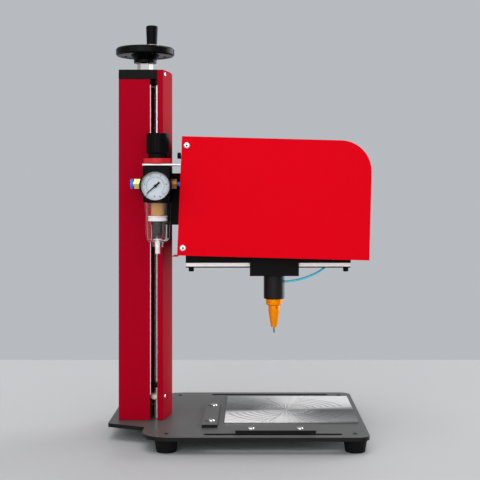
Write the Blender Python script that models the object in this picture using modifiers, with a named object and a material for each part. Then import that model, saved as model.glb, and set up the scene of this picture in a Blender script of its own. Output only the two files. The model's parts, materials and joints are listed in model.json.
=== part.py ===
"""Nameplate marking machine: a base plate with fences, a lifting column and a marking head.

Metres, +Z up. While it is built, X = 0, Y = 0 is the lead screw's axis, +X points to the
marking head, -Y is the side with the air regulator, and Z = 0 is the floor. At the end the
whole machine is moved so that its origin is the middle of its bounding box, on the floor.
"""

import math

import bmesh
import bpy
from mathutils import Matrix, Vector

# Clearances shared by all pieces
GAP = 0.0003
RUNNING_GAP = 0.0005
OVERRUN = 0.004

# How finely round shapes are cut
ROUND_STEPS = 28
SMALL_STEPS = 16
CORNER_STEPS = 4
WHEEL_STEPS = 40

# Base plate and its rear tail
FOOT_HEIGHT = 0.017
BASE_THICK = 0.005
BASE_REAR_X = 0.0081
BASE_LENGTH = 0.2855
BASE_WIDTH = 0.300
BASE_FRONT_RADIUS = 0.015
BASE_REAR_RADIUS = 0.035
TAIL_LENGTH = 0.050
TAIL_ROOT_WIDTH = 0.180
TAIL_END_WIDTH = 0.134
TAIL_END_RADIUS = 0.003
CLAMP_SLOT_LENGTH = 0.1725
CLAMP_SLOT_WIDTH = 0.007
CLAMP_SLOT_FRONT = 0.0343
CLAMP_SLOT_EDGE = 0.018

# Rubber feet
FOOT_TOP_RADIUS = 0.015
FOOT_BOTTOM_RADIUS = 0.0125
FOOT_HOLE_RADIUS = 0.0026
FOOT_SOCKET_RADIUS = 0.0055
FOOT_SOCKET_DEPTH = 0.009
FOOT_REAR_X = 0.0396
FOOT_FRONT_X = 0.2761
FOOT_EDGE = 0.022

# Fences that locate the nameplate
FENCE_THICK = 0.0035
FENCE_HOLE_RADIUS = 0.0022
FENCE_CORNER_RADIUS = 0.001
END_FENCE_GAP = 0.0085
END_FENCE_WIDTH = 0.020
END_FENCE_LENGTH = 0.146
END_FENCE_Y = -0.021
END_FENCE_SCREW_SPACING = 0.101
SIDE_FENCE_X = 0.1261
SIDE_FENCE_LENGTH = 0.101
SIDE_FENCE_WIDTH = 0.020
SIDE_FENCE_EDGE = 0.023
SIDE_FENCE_SCREW_X = 0.0194
SIDE_FENCE_SCREW_SPACING = 0.0622
SIDE_FENCE_SCREW_INSET = 0.010

# Work plate
WORK_PLATE_LENGTH = 0.176
WORK_PLATE_THICK = 0.002
WORK_PLATE_FRONT_EDGE = 0.007
WORK_PLATE_FENCE_GAP = 0.040
WORK_PLATE_FAR_EDGE = 0.041
WORK_PLATE_CORNER = 0.0005

# Column covers and post
COLUMN_WIDTH = 0.100
COLUMN_REAR = 0.0305
COVER_SHEET = 0.0015
REAR_COVER_FRONT = 0.0115
REAR_COVER_RADIUS = 0.003
FRONT_COVER_REAR = 0.0208
FRONT_COVER_SIDE = 0.0077
FRONT_COVER_BOW = 0.0082
FRONT_COVER_SHEET = 0.0015
BOW_STEPS = 14
POST_SHEET = 0.004
POST_FRONT = 0.002
POST_INSET = 0.0005
COLUMN_TOP = 0.475
CAP_THICK = 0.0125
CAP_FRONT = 0.0205
BOSS_RADIUS = 0.0085
BOSS_DROP = 0.007

# Guide rods with their lower stops
ROD_RADIUS = 0.004
ROD_X = 0.0202
ROD_Y = 0.035
ROD_SINK = 0.0003
COLLAR_RADIUS = 0.009
COLLAR_HEIGHT = 0.0066
COLLAR_Z = 0.0646
BUMPER_RADIUS = 0.0098
BUMPER_HEIGHT = 0.0073
BUMPER_Z = 0.0478
RING_GAP = 0.00015

# Lead screw, its bearings and the hand crank
SCREW_RADIUS = 0.008
JOURNAL_RADIUS = 0.006
BEARING_RADIUS = 0.012
LOWER_BEARING_RADIUS = 0.014
LOWER_BEARING_HEIGHT = 0.012
LOCK_NUT_FLATS = 0.019
LOCK_NUT_HEIGHT = 0.013
WHEEL_RADIUS = 0.040
WHEEL_RIM_HEIGHT = 0.011
WHEEL_CLEARANCE = 0.001
WHEEL_HEIGHT = 0.0205
WHEEL_HUB_RADIUS = 0.0155
WHEEL_HUB_FLARE = 0.0195
WHEEL_HUB_LIP = 0.004
WHEEL_WEB = 0.009
WHEEL_WEB_DROP = 0.001
WHEEL_RIM_WIDTH = 0.005
WHEEL_EDGE_RADIUS = 0.002
CRANK_X = 0.0118
CRANK_Y = -0.0270
CRANK_REACH = 0.0265
CRANK_RADIUS = 0.0079
CRANK_FOOT_RADIUS = 0.0071
CRANK_WASHER_RADIUS = 0.0055
CRANK_WASHER_HEIGHT = 0.0012
STUD_RADIUS = 0.003
STUD_TOP_COVER = 0.003

# Lift carriage inside the column, with its arms round the front cover
CARRIAGE_BOTTOM = 0.2817
CARRIAGE_HEIGHT = 0.0681
CARRIAGE_REAR = 0.018
CARRIAGE_FRONT = 0.0295
CARRIAGE_CORE_WIDTH = 0.048
CARRIAGE_WIDTH = 0.095
CARRIAGE_SHOULDER_X = 0.005
CARRIAGE_CHAMFER_X = 0.004
CARRIAGE_CHAMFER_Y = 0.0075
ARM_THICK = 0.0055
ARM_NECK_THICK = 0.0075
ARM_END_X = 0.0572
BUSHING_RADIUS = 0.0075
NUT_RADIUS = 0.013
NUT_FLANGE_RADIUS = 0.016
NUT_FLANGE_HEIGHT = 0.004
NUT_DEPTH = 0.040

# Head cover, a folded sheet shell that sits slightly nose down
COVER_LENGTH = 0.248
COVER_HEIGHT = 0.154
COVER_WIDTH = 0.180
COVER_RADIUS = 0.040
COVER_TOP_SETBACK = 0.0023
COVER_REAR_X = 0.0502
COVER_REAR_Z = 0.243
COVER_TILT = math.radians(1.5)
COVER_ARC_STEPS = 10
HEAD_SHEET = 0.0015

# Plates and rails that carry the marking stage
BACK_PLATE_THICK = 0.004
BACK_PLATE_BOTTOM = 0.248
BACK_PLATE_TOP = 0.3925
BACK_PLATE_WIDTH = 0.174
STAGE_PLATE_THICK = 0.005
STAGE_PLATE_BOTTOM = 0.2586
STAGE_PLATE_LENGTH = 0.222
STAGE_PLATE_WIDTH = 0.164
STAGE_WINDOW_REAR = 0.030
STAGE_WINDOW_LENGTH = 0.158
STAGE_WINDOW_WIDTH = 0.144
STAGE_CORNER = 0.004
CROSS_RAIL_WIDTH = 0.012
CROSS_RAIL_HEIGHT = 0.008
CROSS_RAIL_LENGTH = 0.156
CROSS_RAIL_REAR_X = 0.075
CROSS_RAIL_FRONT_X = 0.262
STAGE_MOTOR_SIDE = 0.042
STAGE_MOTOR_HEIGHT = 0.038
STAGE_MOTOR_X = 0.263
STAGE_MOTOR_Y = 0.050
MOTOR_BEVEL = 0.003

# Gantry that crosses the head along Y and carries the pin along X
GANTRY_Y = -0.030
GANTRY_DEPTH = 0.024
GANTRY_REAR_X = 0.0583
GANTRY_LENGTH = 0.2203
GANTRY_BOTTOM = 0.2305
GANTRY_BEAM_HEIGHT = 0.0155
SHOE_WALL = 0.0055
SHOE_REACH = 0.0065
PIN_RAIL_WIDTH = 0.012
PIN_RAIL_BOTTOM = 0.2237
GANTRY_MOTOR_SIDE = 0.028
GANTRY_MOTOR_HEIGHT = 0.030
GANTRY_MOTOR_X = 0.115
HOSE_CLIP_X = 0.247
HOSE_CLIP_WIDTH = 0.010
HOSE_CLIP_REACH = 0.014
HOSE_CLIP_HEIGHT = 0.008

# Pin carriage and marking pin
PIN_X = 0.1764
BLOCK_LENGTH = 0.065
BLOCK_BOTTOM = 0.2136
BLOCK_CHEEK_TOP = 0.2458
BLOCK_CHEEK = 0.0104
BLOCK_FAR_WALL = 0.0095
CYLINDER_RADIUS = 0.014
CYLINDER_HEIGHT = 0.0315
CYLINDER_EDGE = 0.0008
PISTON_BORE = 0.0062
PISTON_BORE_DEPTH = 0.0195
NOSE_COLLAR_RADIUS = 0.0113
NOSE_COLLAR_TAPER = 0.0005
NOSE_COLLAR_HEIGHT = 0.0074
NOSE_SHOULDER = 0.0015
NOSE_NECK_RADIUS = 0.0076
NOSE_NECK_HEIGHT = 0.0073
NOSE_TIP_RADIUS = 0.0042
NOSE_TIP_Z = 0.1438
NOSE_BORE = 0.0038
NOSE_GUIDE_HEIGHT = 0.009
PIN_RADIUS = 0.0011
PIN_TIP_Z = 0.135
PIN_POINT = 0.002
PIN_GUIDE_GAP = 0.0003
SPRING_SEAT_RADIUS = 0.0033
SPRING_SEAT_Z = 0.1631
SPRING_SEAT_HEIGHT = 0.0057
PISTON_ROD_RADIUS = 0.003
PISTON_Z = 0.1875
PISTON_HEIGHT = 0.008
SPRING_WIRE = 0.0006
SPRING_TURNS = 6
SPRING_TURN_POINTS = 10
HOSE_RADIUS = 0.0015
HOSE_ROUTE = (
    (0.1907, -0.0300, 0.2046),
    (0.1961, -0.0300, 0.2050),
    (0.2026, -0.0296, 0.2058),
    (0.2091, -0.0286, 0.2070),
    (0.2157, -0.0266, 0.2086),
    (0.2223, -0.0240, 0.2106),
    (0.2290, -0.0210, 0.2131),
    (0.2356, -0.0180, 0.2161),
    (0.2410, -0.0155, 0.2191),
    (0.2456, -0.0133, 0.2224),
    (0.2490, -0.0113, 0.2261),
    (0.2511, -0.0099, 0.2301),
    (0.2519, -0.0091, 0.2340),
    (0.2520, -0.0090, 0.2374),
)

# Air regulator with its filter bowl and pressure gauge
UNIT_X = 0.024
UNIT_Y = -0.076
UNIT_SIDE = 0.036
UNIT_BOTTOM = 0.311
UNIT_TOP = 0.3588
UNIT_BEVEL = 0.003
BONNET_RADIUS = 0.0135
BONNET_HEIGHT = 0.0097
BRACKET_SHEET = 0.002
BRACKET_REAR = 0.0057
BRACKET_WIDTH = 0.034
BRACKET_TONGUE_WIDTH = 0.0292
BRACKET_TONGUE_X = 0.048
BRACKET_FAR_Y = -0.0582
BRACKET_FLANGE_HEIGHT = 0.024
RING_NUT_RADIUS = 0.0185
RING_NUT_HEIGHT = 0.007
KNOB_RADIUS = 0.0147
KNOB_FOOT_RADIUS = 0.0126
KNOB_FOOT_HEIGHT = 0.0055
KNOB_HEIGHT = 0.0324
KNOB_EDGE = 0.0012
PORT_Z = 0.3354
GAUGE_Z = 0.3323
GAUGE_SHIFT_X = 0.0011
GAUGE_RADIUS = 0.02015
GAUGE_REACH = 0.0325
GAUGE_DEPTH = 0.018
GAUGE_CAVITY_RADIUS = 0.0183
GAUGE_CAVITY_DEPTH = 0.008
GAUGE_STEM_RADIUS = 0.005
DIAL_THICK = 0.0007
POINTER_LIFT = 0.0017
POINTER_THICK = 0.0006
POINTER_LENGTH = 0.0143
POINTER_TAIL = 0.0071
POINTER_TAIL_HALF = 0.0013
POINTER_WAIST_HALF = 0.0009
POINTER_TIP_HALF = 0.0004
POINTER_SPINDLE_RADIUS = 0.0009
POINTER_REST_ANGLE = math.radians(221)
LENS_THICK = 0.0012
LENS_RECESS = 0.0012
BOWL_TOP_RADIUS = 0.017
BOWL_BOTTOM_RADIUS = 0.0156
BOWL_BOTTOM = 0.260
BOWL_WALL = 0.002
BOWL_CORNER = 0.0065
DRAIN_BOSS_RADIUS = 0.0071
DRAIN_BOSS_HEIGHT = 0.0063
DRAIN_HOLE_RADIUS = 0.0036
DRAIN_STEM_RADIUS = 0.0032
DRAIN_STEM_BOTTOM = 0.2447
DRAIN_FLANGE_RADIUS = 0.005
DRAIN_FLANGE_HEIGHT = 0.0015
ELEMENT_RADIUS = 0.0086
ELEMENT_BORE = 0.004
ELEMENT_HEIGHT = 0.0166
BAFFLE_RADIUS = 0.013
BAFFLE_HEIGHT = 0.0067
CORE_RADIUS = 0.00785
CORE_BOTTOM = 0.267
FITTING_FLATS = 0.0127
FITTING_BORE = 0.002
FITTING_LENGTH = 0.0119
FITTING_NOSE_RADIUS = 0.004
FITTING_NOSE_LENGTH = 0.004
COLLET_RADIUS = 0.0066
COLLET_LENGTH = 0.0032
COLLET_TRAVEL = 0.0012
OUTLET_LENGTH = 0.0068
OUTLET_TUBE_RADIUS = 0.003
OUTLET_TUBE_SEAT = 0.005

# Heights and places worked out from the sizes above
BASE_TOP = FOOT_HEIGHT + BASE_THICK
BASE_HALF = BASE_WIDTH / 2
COLUMN_HALF = COLUMN_WIDTH / 2
COLUMN_FOOT = BASE_TOP + GAP
CAP_TOP = COLUMN_TOP + CAP_THICK
LOCK_NUT_BOTTOM = CAP_TOP + RUNNING_GAP
LOCK_NUT_TOP = LOCK_NUT_BOTTOM + LOCK_NUT_HEIGHT
WHEEL_HUB_BOTTOM = LOCK_NUT_TOP + WHEEL_CLEARANCE
WHEEL_TOP = WHEEL_HUB_BOTTOM + WHEEL_HEIGHT
CRANK_TOP = WHEEL_TOP + CRANK_REACH
CARRIAGE_TOP = CARRIAGE_BOTTOM + CARRIAGE_HEIGHT
BACK_PLATE_X = ARM_END_X + GAP
STAGE_PLATE_X = BACK_PLATE_X + BACK_PLATE_THICK + GAP
STAGE_PLATE_TOP = STAGE_PLATE_BOTTOM + STAGE_PLATE_THICK
CROSS_RAIL_TOP = STAGE_PLATE_BOTTOM - GAP
CROSS_RAIL_BOTTOM = CROSS_RAIL_TOP - CROSS_RAIL_HEIGHT
GANTRY_TOP = GANTRY_BOTTOM + GANTRY_BEAM_HEIGHT
CYLINDER_TOP = BLOCK_BOTTOM - GAP
CYLINDER_BOTTOM = CYLINDER_TOP - CYLINDER_HEIGHT
NOSE_TOP = CYLINDER_BOTTOM - GAP
GAUGE_X = UNIT_X + GAUGE_SHIFT_X
UNIT_NEAR_Y = UNIT_Y - UNIT_SIDE / 2
RING_NUT_BOTTOM = UNIT_TOP + GAP + BRACKET_SHEET + GAP
KNOB_BOTTOM = UNIT_TOP + BONNET_HEIGHT + GAP

# Material name: colour, roughness, metallic, alpha
FINISHES = {
    "red_paint": ((0.78, 0.0, 0.02), 0.35, 0.0, 1.0),
    "black_paint": ((0.02, 0.02, 0.02), 0.22, 0.0, 1.0),
    "black_plastic": ((0.015, 0.015, 0.015), 0.45, 0.0, 1.0),
    "black_anodised": ((0.02, 0.02, 0.022), 0.4, 0.6, 1.0),
    "rubber": ((0.02, 0.02, 0.02), 0.8, 0.0, 1.0),
    "chrome": ((0.85, 0.85, 0.86), 0.08, 1.0, 1.0),
    "steel": ((0.6, 0.6, 0.6), 0.3, 1.0, 1.0),
    "brushed_plate": ((0.8, 0.8, 0.8), 0.3, 1.0, 1.0),
    "brass": ((0.8, 0.6, 0.25), 0.3, 1.0, 1.0),
    "orange_anodised": ((0.95, 0.35, 0.0), 0.3, 0.5, 1.0),
    "red_plastic": ((0.7, 0.01, 0.02), 0.35, 0.0, 1.0),
    "blue_plastic": ((0.0, 0.2, 0.9), 0.35, 0.0, 1.0),
    "cream_rubber": ((0.8, 0.72, 0.5), 0.6, 0.0, 1.0),
    "amber_filter": ((0.75, 0.4, 0.12), 0.8, 0.0, 1.0),
    "white_plastic": ((0.85, 0.85, 0.83), 0.4, 0.0, 1.0),
    "clear_plastic": ((0.9, 0.92, 0.93), 0.05, 0.0, 0.3),
}


def clear_scene():
    """Remove whatever the scene starts with."""
    for obj in list(bpy.data.objects):
        bpy.data.objects.remove(obj, do_unlink=True)


def make_collection(name):
    """Return a new collection linked to the scene."""
    collection = bpy.data.collections.new(name)
    bpy.context.scene.collection.children.link(collection)
    return collection


def make_empty(name, location, parent=None):
    """Return an empty that marks an axis or an origin."""
    empty = bpy.data.objects.new(name, None)
    empty.empty_display_size = CRANK_RADIUS
    empty.location = location
    PARTS.objects.link(empty)
    if parent is not None:
        empty.parent = parent
    AXES[name] = Vector(location)
    return empty


def finish_of(name):
    """Return the material for a finish, made on first use."""
    material = bpy.data.materials.get(name)
    if material is None:
        colour, roughness, metallic, alpha = FINISHES[name]
        material = bpy.data.materials.new(name)
        material.use_nodes = True
        shader = material.node_tree.nodes["Principled BSDF"]
        shader.inputs["Base Color"].default_value = (*colour, 1.0)
        shader.inputs["Roughness"].default_value = roughness
        shader.inputs["Metallic"].default_value = metallic
        shader.inputs["Alpha"].default_value = alpha
    return material


def place(obj, finish, parent, location):
    """Link an object, give it its material, parent and place."""
    PARTS.objects.link(obj)
    obj.data.materials.append(finish_of(finish))
    obj.parent = parent
    obj.location = Vector(location) - AXES[parent.name]
    return obj


def mesh_from(bm, name):
    """Turn a bmesh into a smooth-shaded mesh with sharp edges kept."""
    mesh = bpy.data.meshes.new(name)
    bm.to_mesh(mesh)
    bm.free()
    mesh.shade_smooth()
    mesh.set_sharp_from_angle(angle=math.radians(35))
    return mesh


def make_box(name, low, high, finish, parent, bevel=0.0):
    """Make a block between two corners, with rounded edges where bevel is set."""
    size = Vector(high) - Vector(low)
    middle = (Vector(high) + Vector(low)) / 2
    bm = bmesh.new()
    bmesh.ops.create_cube(bm, size=1.0)
    bmesh.ops.scale(bm, vec=size, verts=bm.verts)
    obj = bpy.data.objects.new(name, mesh_from(bm, name))
    if bevel > 0.0:
        rounding = obj.modifiers.new("rounding", "BEVEL")
        rounding.width = bevel
        rounding.segments = 2
    return place(obj, finish, parent, middle)


def make_turned(name, profile, location, finish, parent, steps=ROUND_STEPS, closed=False):
    """Turn a profile of (radius, height) points round the local Z axis."""
    mesh = bpy.data.meshes.new(name)
    points = [(radius, 0.0, height) for radius, height in profile]
    edges = [(i, i + 1) for i in range(len(points) - 1)]
    if closed:
        edges.append((len(points) - 1, 0))
    mesh.from_pydata(points, edges, [])
    obj = bpy.data.objects.new(name, mesh)
    screw = obj.modifiers.new("turning", "SCREW")
    screw.steps = steps
    screw.render_steps = steps
    screw.use_merge_vertices = True
    screw.merge_threshold = 0.00001
    screw.use_smooth_shade = True
    return place(obj, finish, parent, location)


def make_outline(name, outlines, low, high, finish, parent, facing="Z"):
    """Fill closed outlines and thicken them from low to high along the axis they face.

    Outlines are in XY when facing Z, in XZ when facing Y and in YZ when facing X. Outlines
    inside the first one are holes.
    """
    curve = bpy.data.curves.new(name, "CURVE")
    curve.dimensions = "2D"
    curve.fill_mode = "BOTH"
    curve.extrude = (high - low) / 2
    for outline in outlines:
        spline = curve.splines.new("POLY")
        spline.points.add(len(outline) - 1)
        for point, (across, along) in zip(spline.points, outline):
            point.co = (across, along, 0.0, 1.0)
        spline.use_cyclic_u = True
    obj = bpy.data.objects.new(name, curve)
    middle = (low + high) / 2
    locations = {"Z": (0.0, 0.0, middle), "Y": (0.0, middle, 0.0), "X": (middle, 0.0, 0.0)}
    quarter = math.pi / 2
    turns = {"Z": (0.0, 0.0, 0.0), "Y": (quarter, 0.0, 0.0), "X": (quarter, 0.0, quarter)}
    obj.rotation_euler = turns[facing]
    return place(obj, finish, parent, locations[facing])


def make_tube(name, route, radius, finish, parent, detail=2):
    """Make a round tube with filled ends along a list of points."""
    curve = bpy.data.curves.new(name, "CURVE")
    curve.dimensions = "3D"
    curve.bevel_depth = radius
    curve.bevel_resolution = detail
    curve.use_fill_caps = True
    spline = curve.splines.new("POLY")
    spline.points.add(len(route) - 1)
    for point, (x, y, z) in zip(spline.points, route):
        point.co = (x, y, z, 1.0)
    obj = bpy.data.objects.new(name, curve)
    return place(obj, finish, parent, (0.0, 0.0, 0.0))


def as_mesh(obj):
    """Replace a curve or modified object by its evaluated mesh, with the caps welded."""
    bpy.context.view_layer.update()
    evaluated = obj.evaluated_get(bpy.context.evaluated_depsgraph_get())
    mesh = bpy.data.meshes.new_from_object(evaluated)
    bm = bmesh.new()
    bm.from_mesh(mesh)
    bmesh.ops.remove_doubles(bm, verts=bm.verts, dist=0.000001)
    bmesh.ops.recalc_face_normals(bm, faces=bm.faces)
    bm.to_mesh(mesh)
    bm.free()
    name = obj.name
    parent = obj.parent
    world = obj.matrix_world.copy()
    bpy.data.objects.remove(obj, do_unlink=True)
    solid = bpy.data.objects.new(name, mesh)
    PARTS.objects.link(solid)
    solid.parent = parent
    bpy.context.view_layer.update()
    solid.matrix_world = world
    return solid


def combine(obj, tool, operation):
    """Apply a live Boolean of a helper solid to an object and file the helper as a cutter."""
    boolean = obj.modifiers.new(operation.lower(), "BOOLEAN")
    boolean.operation = operation
    boolean.object = tool
    tool.hide_render = True
    tool.display_type = "WIRE"
    PARTS.objects.unlink(tool)
    CUTTERS.objects.link(tool)


def circle(x, y, radius, steps=SMALL_STEPS):
    """Return the points of a circle outline."""
    turns = [2 * math.pi * i / steps for i in range(steps)]
    return [(x + radius * math.cos(turn), y + radius * math.sin(turn)) for turn in turns]


def rounded(corners):
    """Return an outline with an arc at each corner, given as (x, y, radius)."""
    outline = []
    count = len(corners)
    for i, (x, y, radius) in enumerate(corners):
        here = Vector((x, y))
        if radius <= 0.0:
            outline.append((x, y))
            continue
        before = (Vector(corners[i - 1][:2]) - here).normalized()
        after = (Vector(corners[(i + 1) % count][:2]) - here).normalized()
        half = before.angle(after) / 2
        centre = here + (before + after).normalized() * (radius / math.sin(half))
        start = here + before * (radius / math.tan(half)) - centre
        end = here + after * (radius / math.tan(half)) - centre
        sweep = start.angle_signed(end)
        for step in range(CORNER_STEPS + 1):
            turn = -sweep * step / CORNER_STEPS
            outline.append(tuple(centre + Matrix.Rotation(turn, 2) @ start))
    return outline


def rectangle(low_x, low_y, high_x, high_y, radius=0.0):
    """Return a rectangle outline with equal corner radii."""
    corners = [(low_x, low_y), (high_x, low_y), (high_x, high_y), (low_x, high_y)]
    return rounded([(x, y, radius) for x, y in corners])


def slot(start_x, end_x, y, half):
    """Return a slot outline along X with half-round ends."""
    arc_steps = SMALL_STEPS // 2
    outline = []
    for centre_x, first_turn in ((end_x - half, -math.pi / 2), (start_x + half, math.pi / 2)):
        for step in range(arc_steps + 1):
            turn = first_turn + math.pi * step / arc_steps
            outline.append((centre_x + half * math.cos(turn), y + half * math.sin(turn)))
    return outline


def hexagon(x, y, flats):
    """Return a hexagon outline of the given width across flats."""
    return circle(x, y, flats / math.sqrt(3), steps=6)


def mirrored(outline):
    """Return a half outline followed by its mirror image across Y = 0."""
    return outline + [(x, -y) for x, y in reversed(outline)]


def build_base(frame):
    """Build the base plate, its feet, the two fences and the work plate."""
    front = BASE_REAR_X + BASE_LENGTH
    tail_root = TAIL_ROOT_WIDTH / 2
    tail_end = TAIL_END_WIDTH / 2
    tail_x = BASE_REAR_X - TAIL_LENGTH
    outline = rounded([
        (front, -BASE_HALF, BASE_FRONT_RADIUS),
        (front, BASE_HALF, BASE_FRONT_RADIUS),
        (BASE_REAR_X, BASE_HALF, BASE_REAR_RADIUS),
        (BASE_REAR_X, tail_root, 0.0),
        (tail_x, tail_end, TAIL_END_RADIUS),
        (tail_x, -tail_end, TAIL_END_RADIUS),
        (BASE_REAR_X, -tail_root, 0.0),
        (BASE_REAR_X, -BASE_HALF, BASE_REAR_RADIUS),
    ])
    slot_y = BASE_HALF - CLAMP_SLOT_EDGE
    slot_half = CLAMP_SLOT_WIDTH / 2
    slot_end = front - CLAMP_SLOT_FRONT
    slot_start = slot_end - CLAMP_SLOT_LENGTH
    foot_y = BASE_HALF - FOOT_EDGE
    outlines = [outline]
    for side in (-1, 1):
        outlines.append(slot(slot_start, slot_end, side * slot_y, slot_half))
        for x in (FOOT_REAR_X, FOOT_FRONT_X):
            outlines.append(circle(x, side * foot_y, FOOT_HOLE_RADIUS))
    make_outline("base_plate", outlines, FOOT_HEIGHT, BASE_TOP, "black_paint", frame)

    foot_top = FOOT_HEIGHT - GAP
    foot_profile = [
        (FOOT_HOLE_RADIUS, foot_top),
        (FOOT_TOP_RADIUS, foot_top),
        (FOOT_BOTTOM_RADIUS, 0.0),
        (FOOT_SOCKET_RADIUS, 0.0),
        (FOOT_SOCKET_RADIUS, FOOT_SOCKET_DEPTH),
        (FOOT_HOLE_RADIUS, FOOT_SOCKET_DEPTH),
    ]
    for end, x in (("rear", FOOT_REAR_X), ("front", FOOT_FRONT_X)):
        for side, y in (("near", -foot_y), ("far", foot_y)):
            make_turned(f"foot_{end}_{side}", foot_profile, (x, y, 0.0), "rubber", frame, closed=True)

    low = BASE_TOP + GAP
    fence_top = low + FENCE_THICK
    plate_front = front - WORK_PLATE_FRONT_EDGE
    plate_rear = plate_front - WORK_PLATE_LENGTH
    end_near = END_FENCE_Y - END_FENCE_LENGTH / 2
    end_far = END_FENCE_Y + END_FENCE_LENGTH / 2
    end_front = plate_rear - END_FENCE_GAP
    end_rear = end_front - END_FENCE_WIDTH
    end_middle = end_front - END_FENCE_WIDTH / 2
    end_outlines = [rectangle(end_rear, end_near, end_front, end_far, FENCE_CORNER_RADIUS)]
    for side in (-1, 1):
        y = END_FENCE_Y + side * END_FENCE_SCREW_SPACING / 2
        end_outlines.append(circle(end_middle, y, FENCE_HOLE_RADIUS))
    make_outline("end_fence", end_outlines, low, fence_top, "black_paint", frame)

    near_y = SIDE_FENCE_EDGE - BASE_HALF
    side_x = SIDE_FENCE_X + SIDE_FENCE_LENGTH
    far_y = near_y + SIDE_FENCE_WIDTH
    side_outlines = [rectangle(SIDE_FENCE_X, near_y, side_x, far_y, FENCE_CORNER_RADIUS)]
    for i in range(2):
        x = SIDE_FENCE_X + SIDE_FENCE_SCREW_X + i * SIDE_FENCE_SCREW_SPACING
        side_outlines.append(circle(x, far_y - SIDE_FENCE_SCREW_INSET, FENCE_HOLE_RADIUS))
    make_outline("side_fence", side_outlines, low, fence_top, "black_paint", frame)

    plate_near = far_y + WORK_PLATE_FENCE_GAP
    plate_far = BASE_HALF - WORK_PLATE_FAR_EDGE
    plate = rectangle(plate_rear, plate_near, plate_front, plate_far, WORK_PLATE_CORNER)
    make_outline("work_plate", [plate], low, low + WORK_PLATE_THICK, "brushed_plate", frame)


def bow(inset, half_width):
    """Return the front cover's bowed front, inset by a depth, from -half_width to half_width."""
    half = COLUMN_HALF
    radius = (half * half + FRONT_COVER_BOW * FRONT_COVER_BOW) / (2 * FRONT_COVER_BOW)
    centre_x = FRONT_COVER_REAR + FRONT_COVER_SIDE + FRONT_COVER_BOW - radius
    reach = radius - inset
    points = []
    for step in range(BOW_STEPS + 1):
        y = half_width * (2 * step / BOW_STEPS - 1)
        points.append((centre_x + math.sqrt(reach * reach - y * y), y))
    return points


def build_column(frame):
    """Build the post, the two covers, the cap, the guide rods and their stops."""
    half = COLUMN_HALF
    inner = half - COVER_SHEET
    rear_outline = rounded([
        (REAR_COVER_FRONT, -half, 0.0),
        (REAR_COVER_FRONT, -inner, 0.0),
        (COVER_SHEET - COLUMN_REAR, -inner, REAR_COVER_RADIUS - COVER_SHEET),
        (COVER_SHEET - COLUMN_REAR, inner, REAR_COVER_RADIUS - COVER_SHEET),
        (REAR_COVER_FRONT, inner, 0.0),
        (REAR_COVER_FRONT, half, 0.0),
        (-COLUMN_REAR, half, REAR_COVER_RADIUS),
        (-COLUMN_REAR, -half, REAR_COVER_RADIUS),
    ])
    make_outline("rear_cover", [rear_outline], COLUMN_FOOT, COLUMN_TOP - GAP, "red_paint", frame)

    sheet_inner = half - FRONT_COVER_SHEET
    front_outline = [(FRONT_COVER_REAR, -half)]
    front_outline += bow(0.0, half)
    front_outline += [(FRONT_COVER_REAR, half), (FRONT_COVER_REAR, sheet_inner)]
    front_outline += reversed(bow(FRONT_COVER_SHEET, sheet_inner))
    front_outline.append((FRONT_COVER_REAR, -sheet_inner))
    make_outline("front_cover", [front_outline], COLUMN_FOOT, CAP_TOP, "red_paint", frame)

    post_half = inner - POST_INSET
    post_inner = post_half - POST_SHEET
    post_rear = COVER_SHEET + POST_INSET - COLUMN_REAR
    post_outline = [
        (POST_FRONT, -post_half),
        (POST_FRONT, -post_inner),
        (post_rear + POST_SHEET, -post_inner),
        (post_rear + POST_SHEET, post_inner),
        (POST_FRONT, post_inner),
        (POST_FRONT, post_half),
        (post_rear, post_half),
        (post_rear, -post_half),
    ]
    make_outline("column_post", [post_outline], COLUMN_FOOT, COLUMN_TOP - GAP, "black_paint", frame)

    tongue = sheet_inner - GAP
    cap_outline = rounded([
        (CAP_FRONT, half, 0.0),
        (-COLUMN_REAR, half, REAR_COVER_RADIUS),
        (-COLUMN_REAR, -half, REAR_COVER_RADIUS),
        (CAP_FRONT, -half, 0.0),
    ])
    cap_outline.append((CAP_FRONT, -tongue))
    cap_outline += bow(FRONT_COVER_SHEET + GAP, tongue)
    cap_outline.append((CAP_FRONT, tongue))
    cap = as_mesh(make_outline("column_cap", [cap_outline], COLUMN_TOP, CAP_TOP, "black_paint", frame))
    boss_bottom = COLUMN_TOP - BOSS_DROP
    boss_profile = bar_profile(BOSS_RADIUS, boss_bottom, CAP_TOP - GAP)
    bore_profile = bar_profile(ROD_RADIUS + RING_GAP, boss_bottom - OVERRUN, CAP_TOP + OVERRUN)
    rod_profile = bar_profile(ROD_RADIUS, COLUMN_FOOT, CAP_TOP - ROD_SINK)
    rings = (
        ("rod_collar", COLLAR_RADIUS, COLLAR_Z, COLLAR_HEIGHT, "black_anodised"),
        ("rod_bumper", BUMPER_RADIUS, BUMPER_Z, BUMPER_HEIGHT, "cream_rubber"),
    )
    for side, y in (("near", -ROD_Y), ("far", ROD_Y)):
        axis = (ROD_X, y, 0.0)
        boss = make_turned(f"cap_boss_{side}", boss_profile, axis, "black_paint", frame)
        combine(cap, as_mesh(boss), "UNION")
        bore = make_turned(f"cap_bore_{side}", bore_profile, axis, "black_paint", frame)
        combine(cap, as_mesh(bore), "DIFFERENCE")
        make_turned(f"guide_rod_{side}", rod_profile, axis, "chrome", frame)
        for name, radius, bottom, height, finish in rings:
            profile = ring_profile(ROD_RADIUS + RING_GAP, radius, bottom, bottom + height)
            make_turned(f"{name}_{side}", profile, axis, finish, frame, closed=True)
    seat_profile = bar_profile(BEARING_RADIUS + RING_GAP, COLUMN_TOP - OVERRUN, CAP_TOP + OVERRUN)
    seat = make_turned("bearing_seat", seat_profile, (0.0, 0.0, 0.0), "black_paint", frame)
    combine(cap, as_mesh(seat), "DIFFERENCE")


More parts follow.
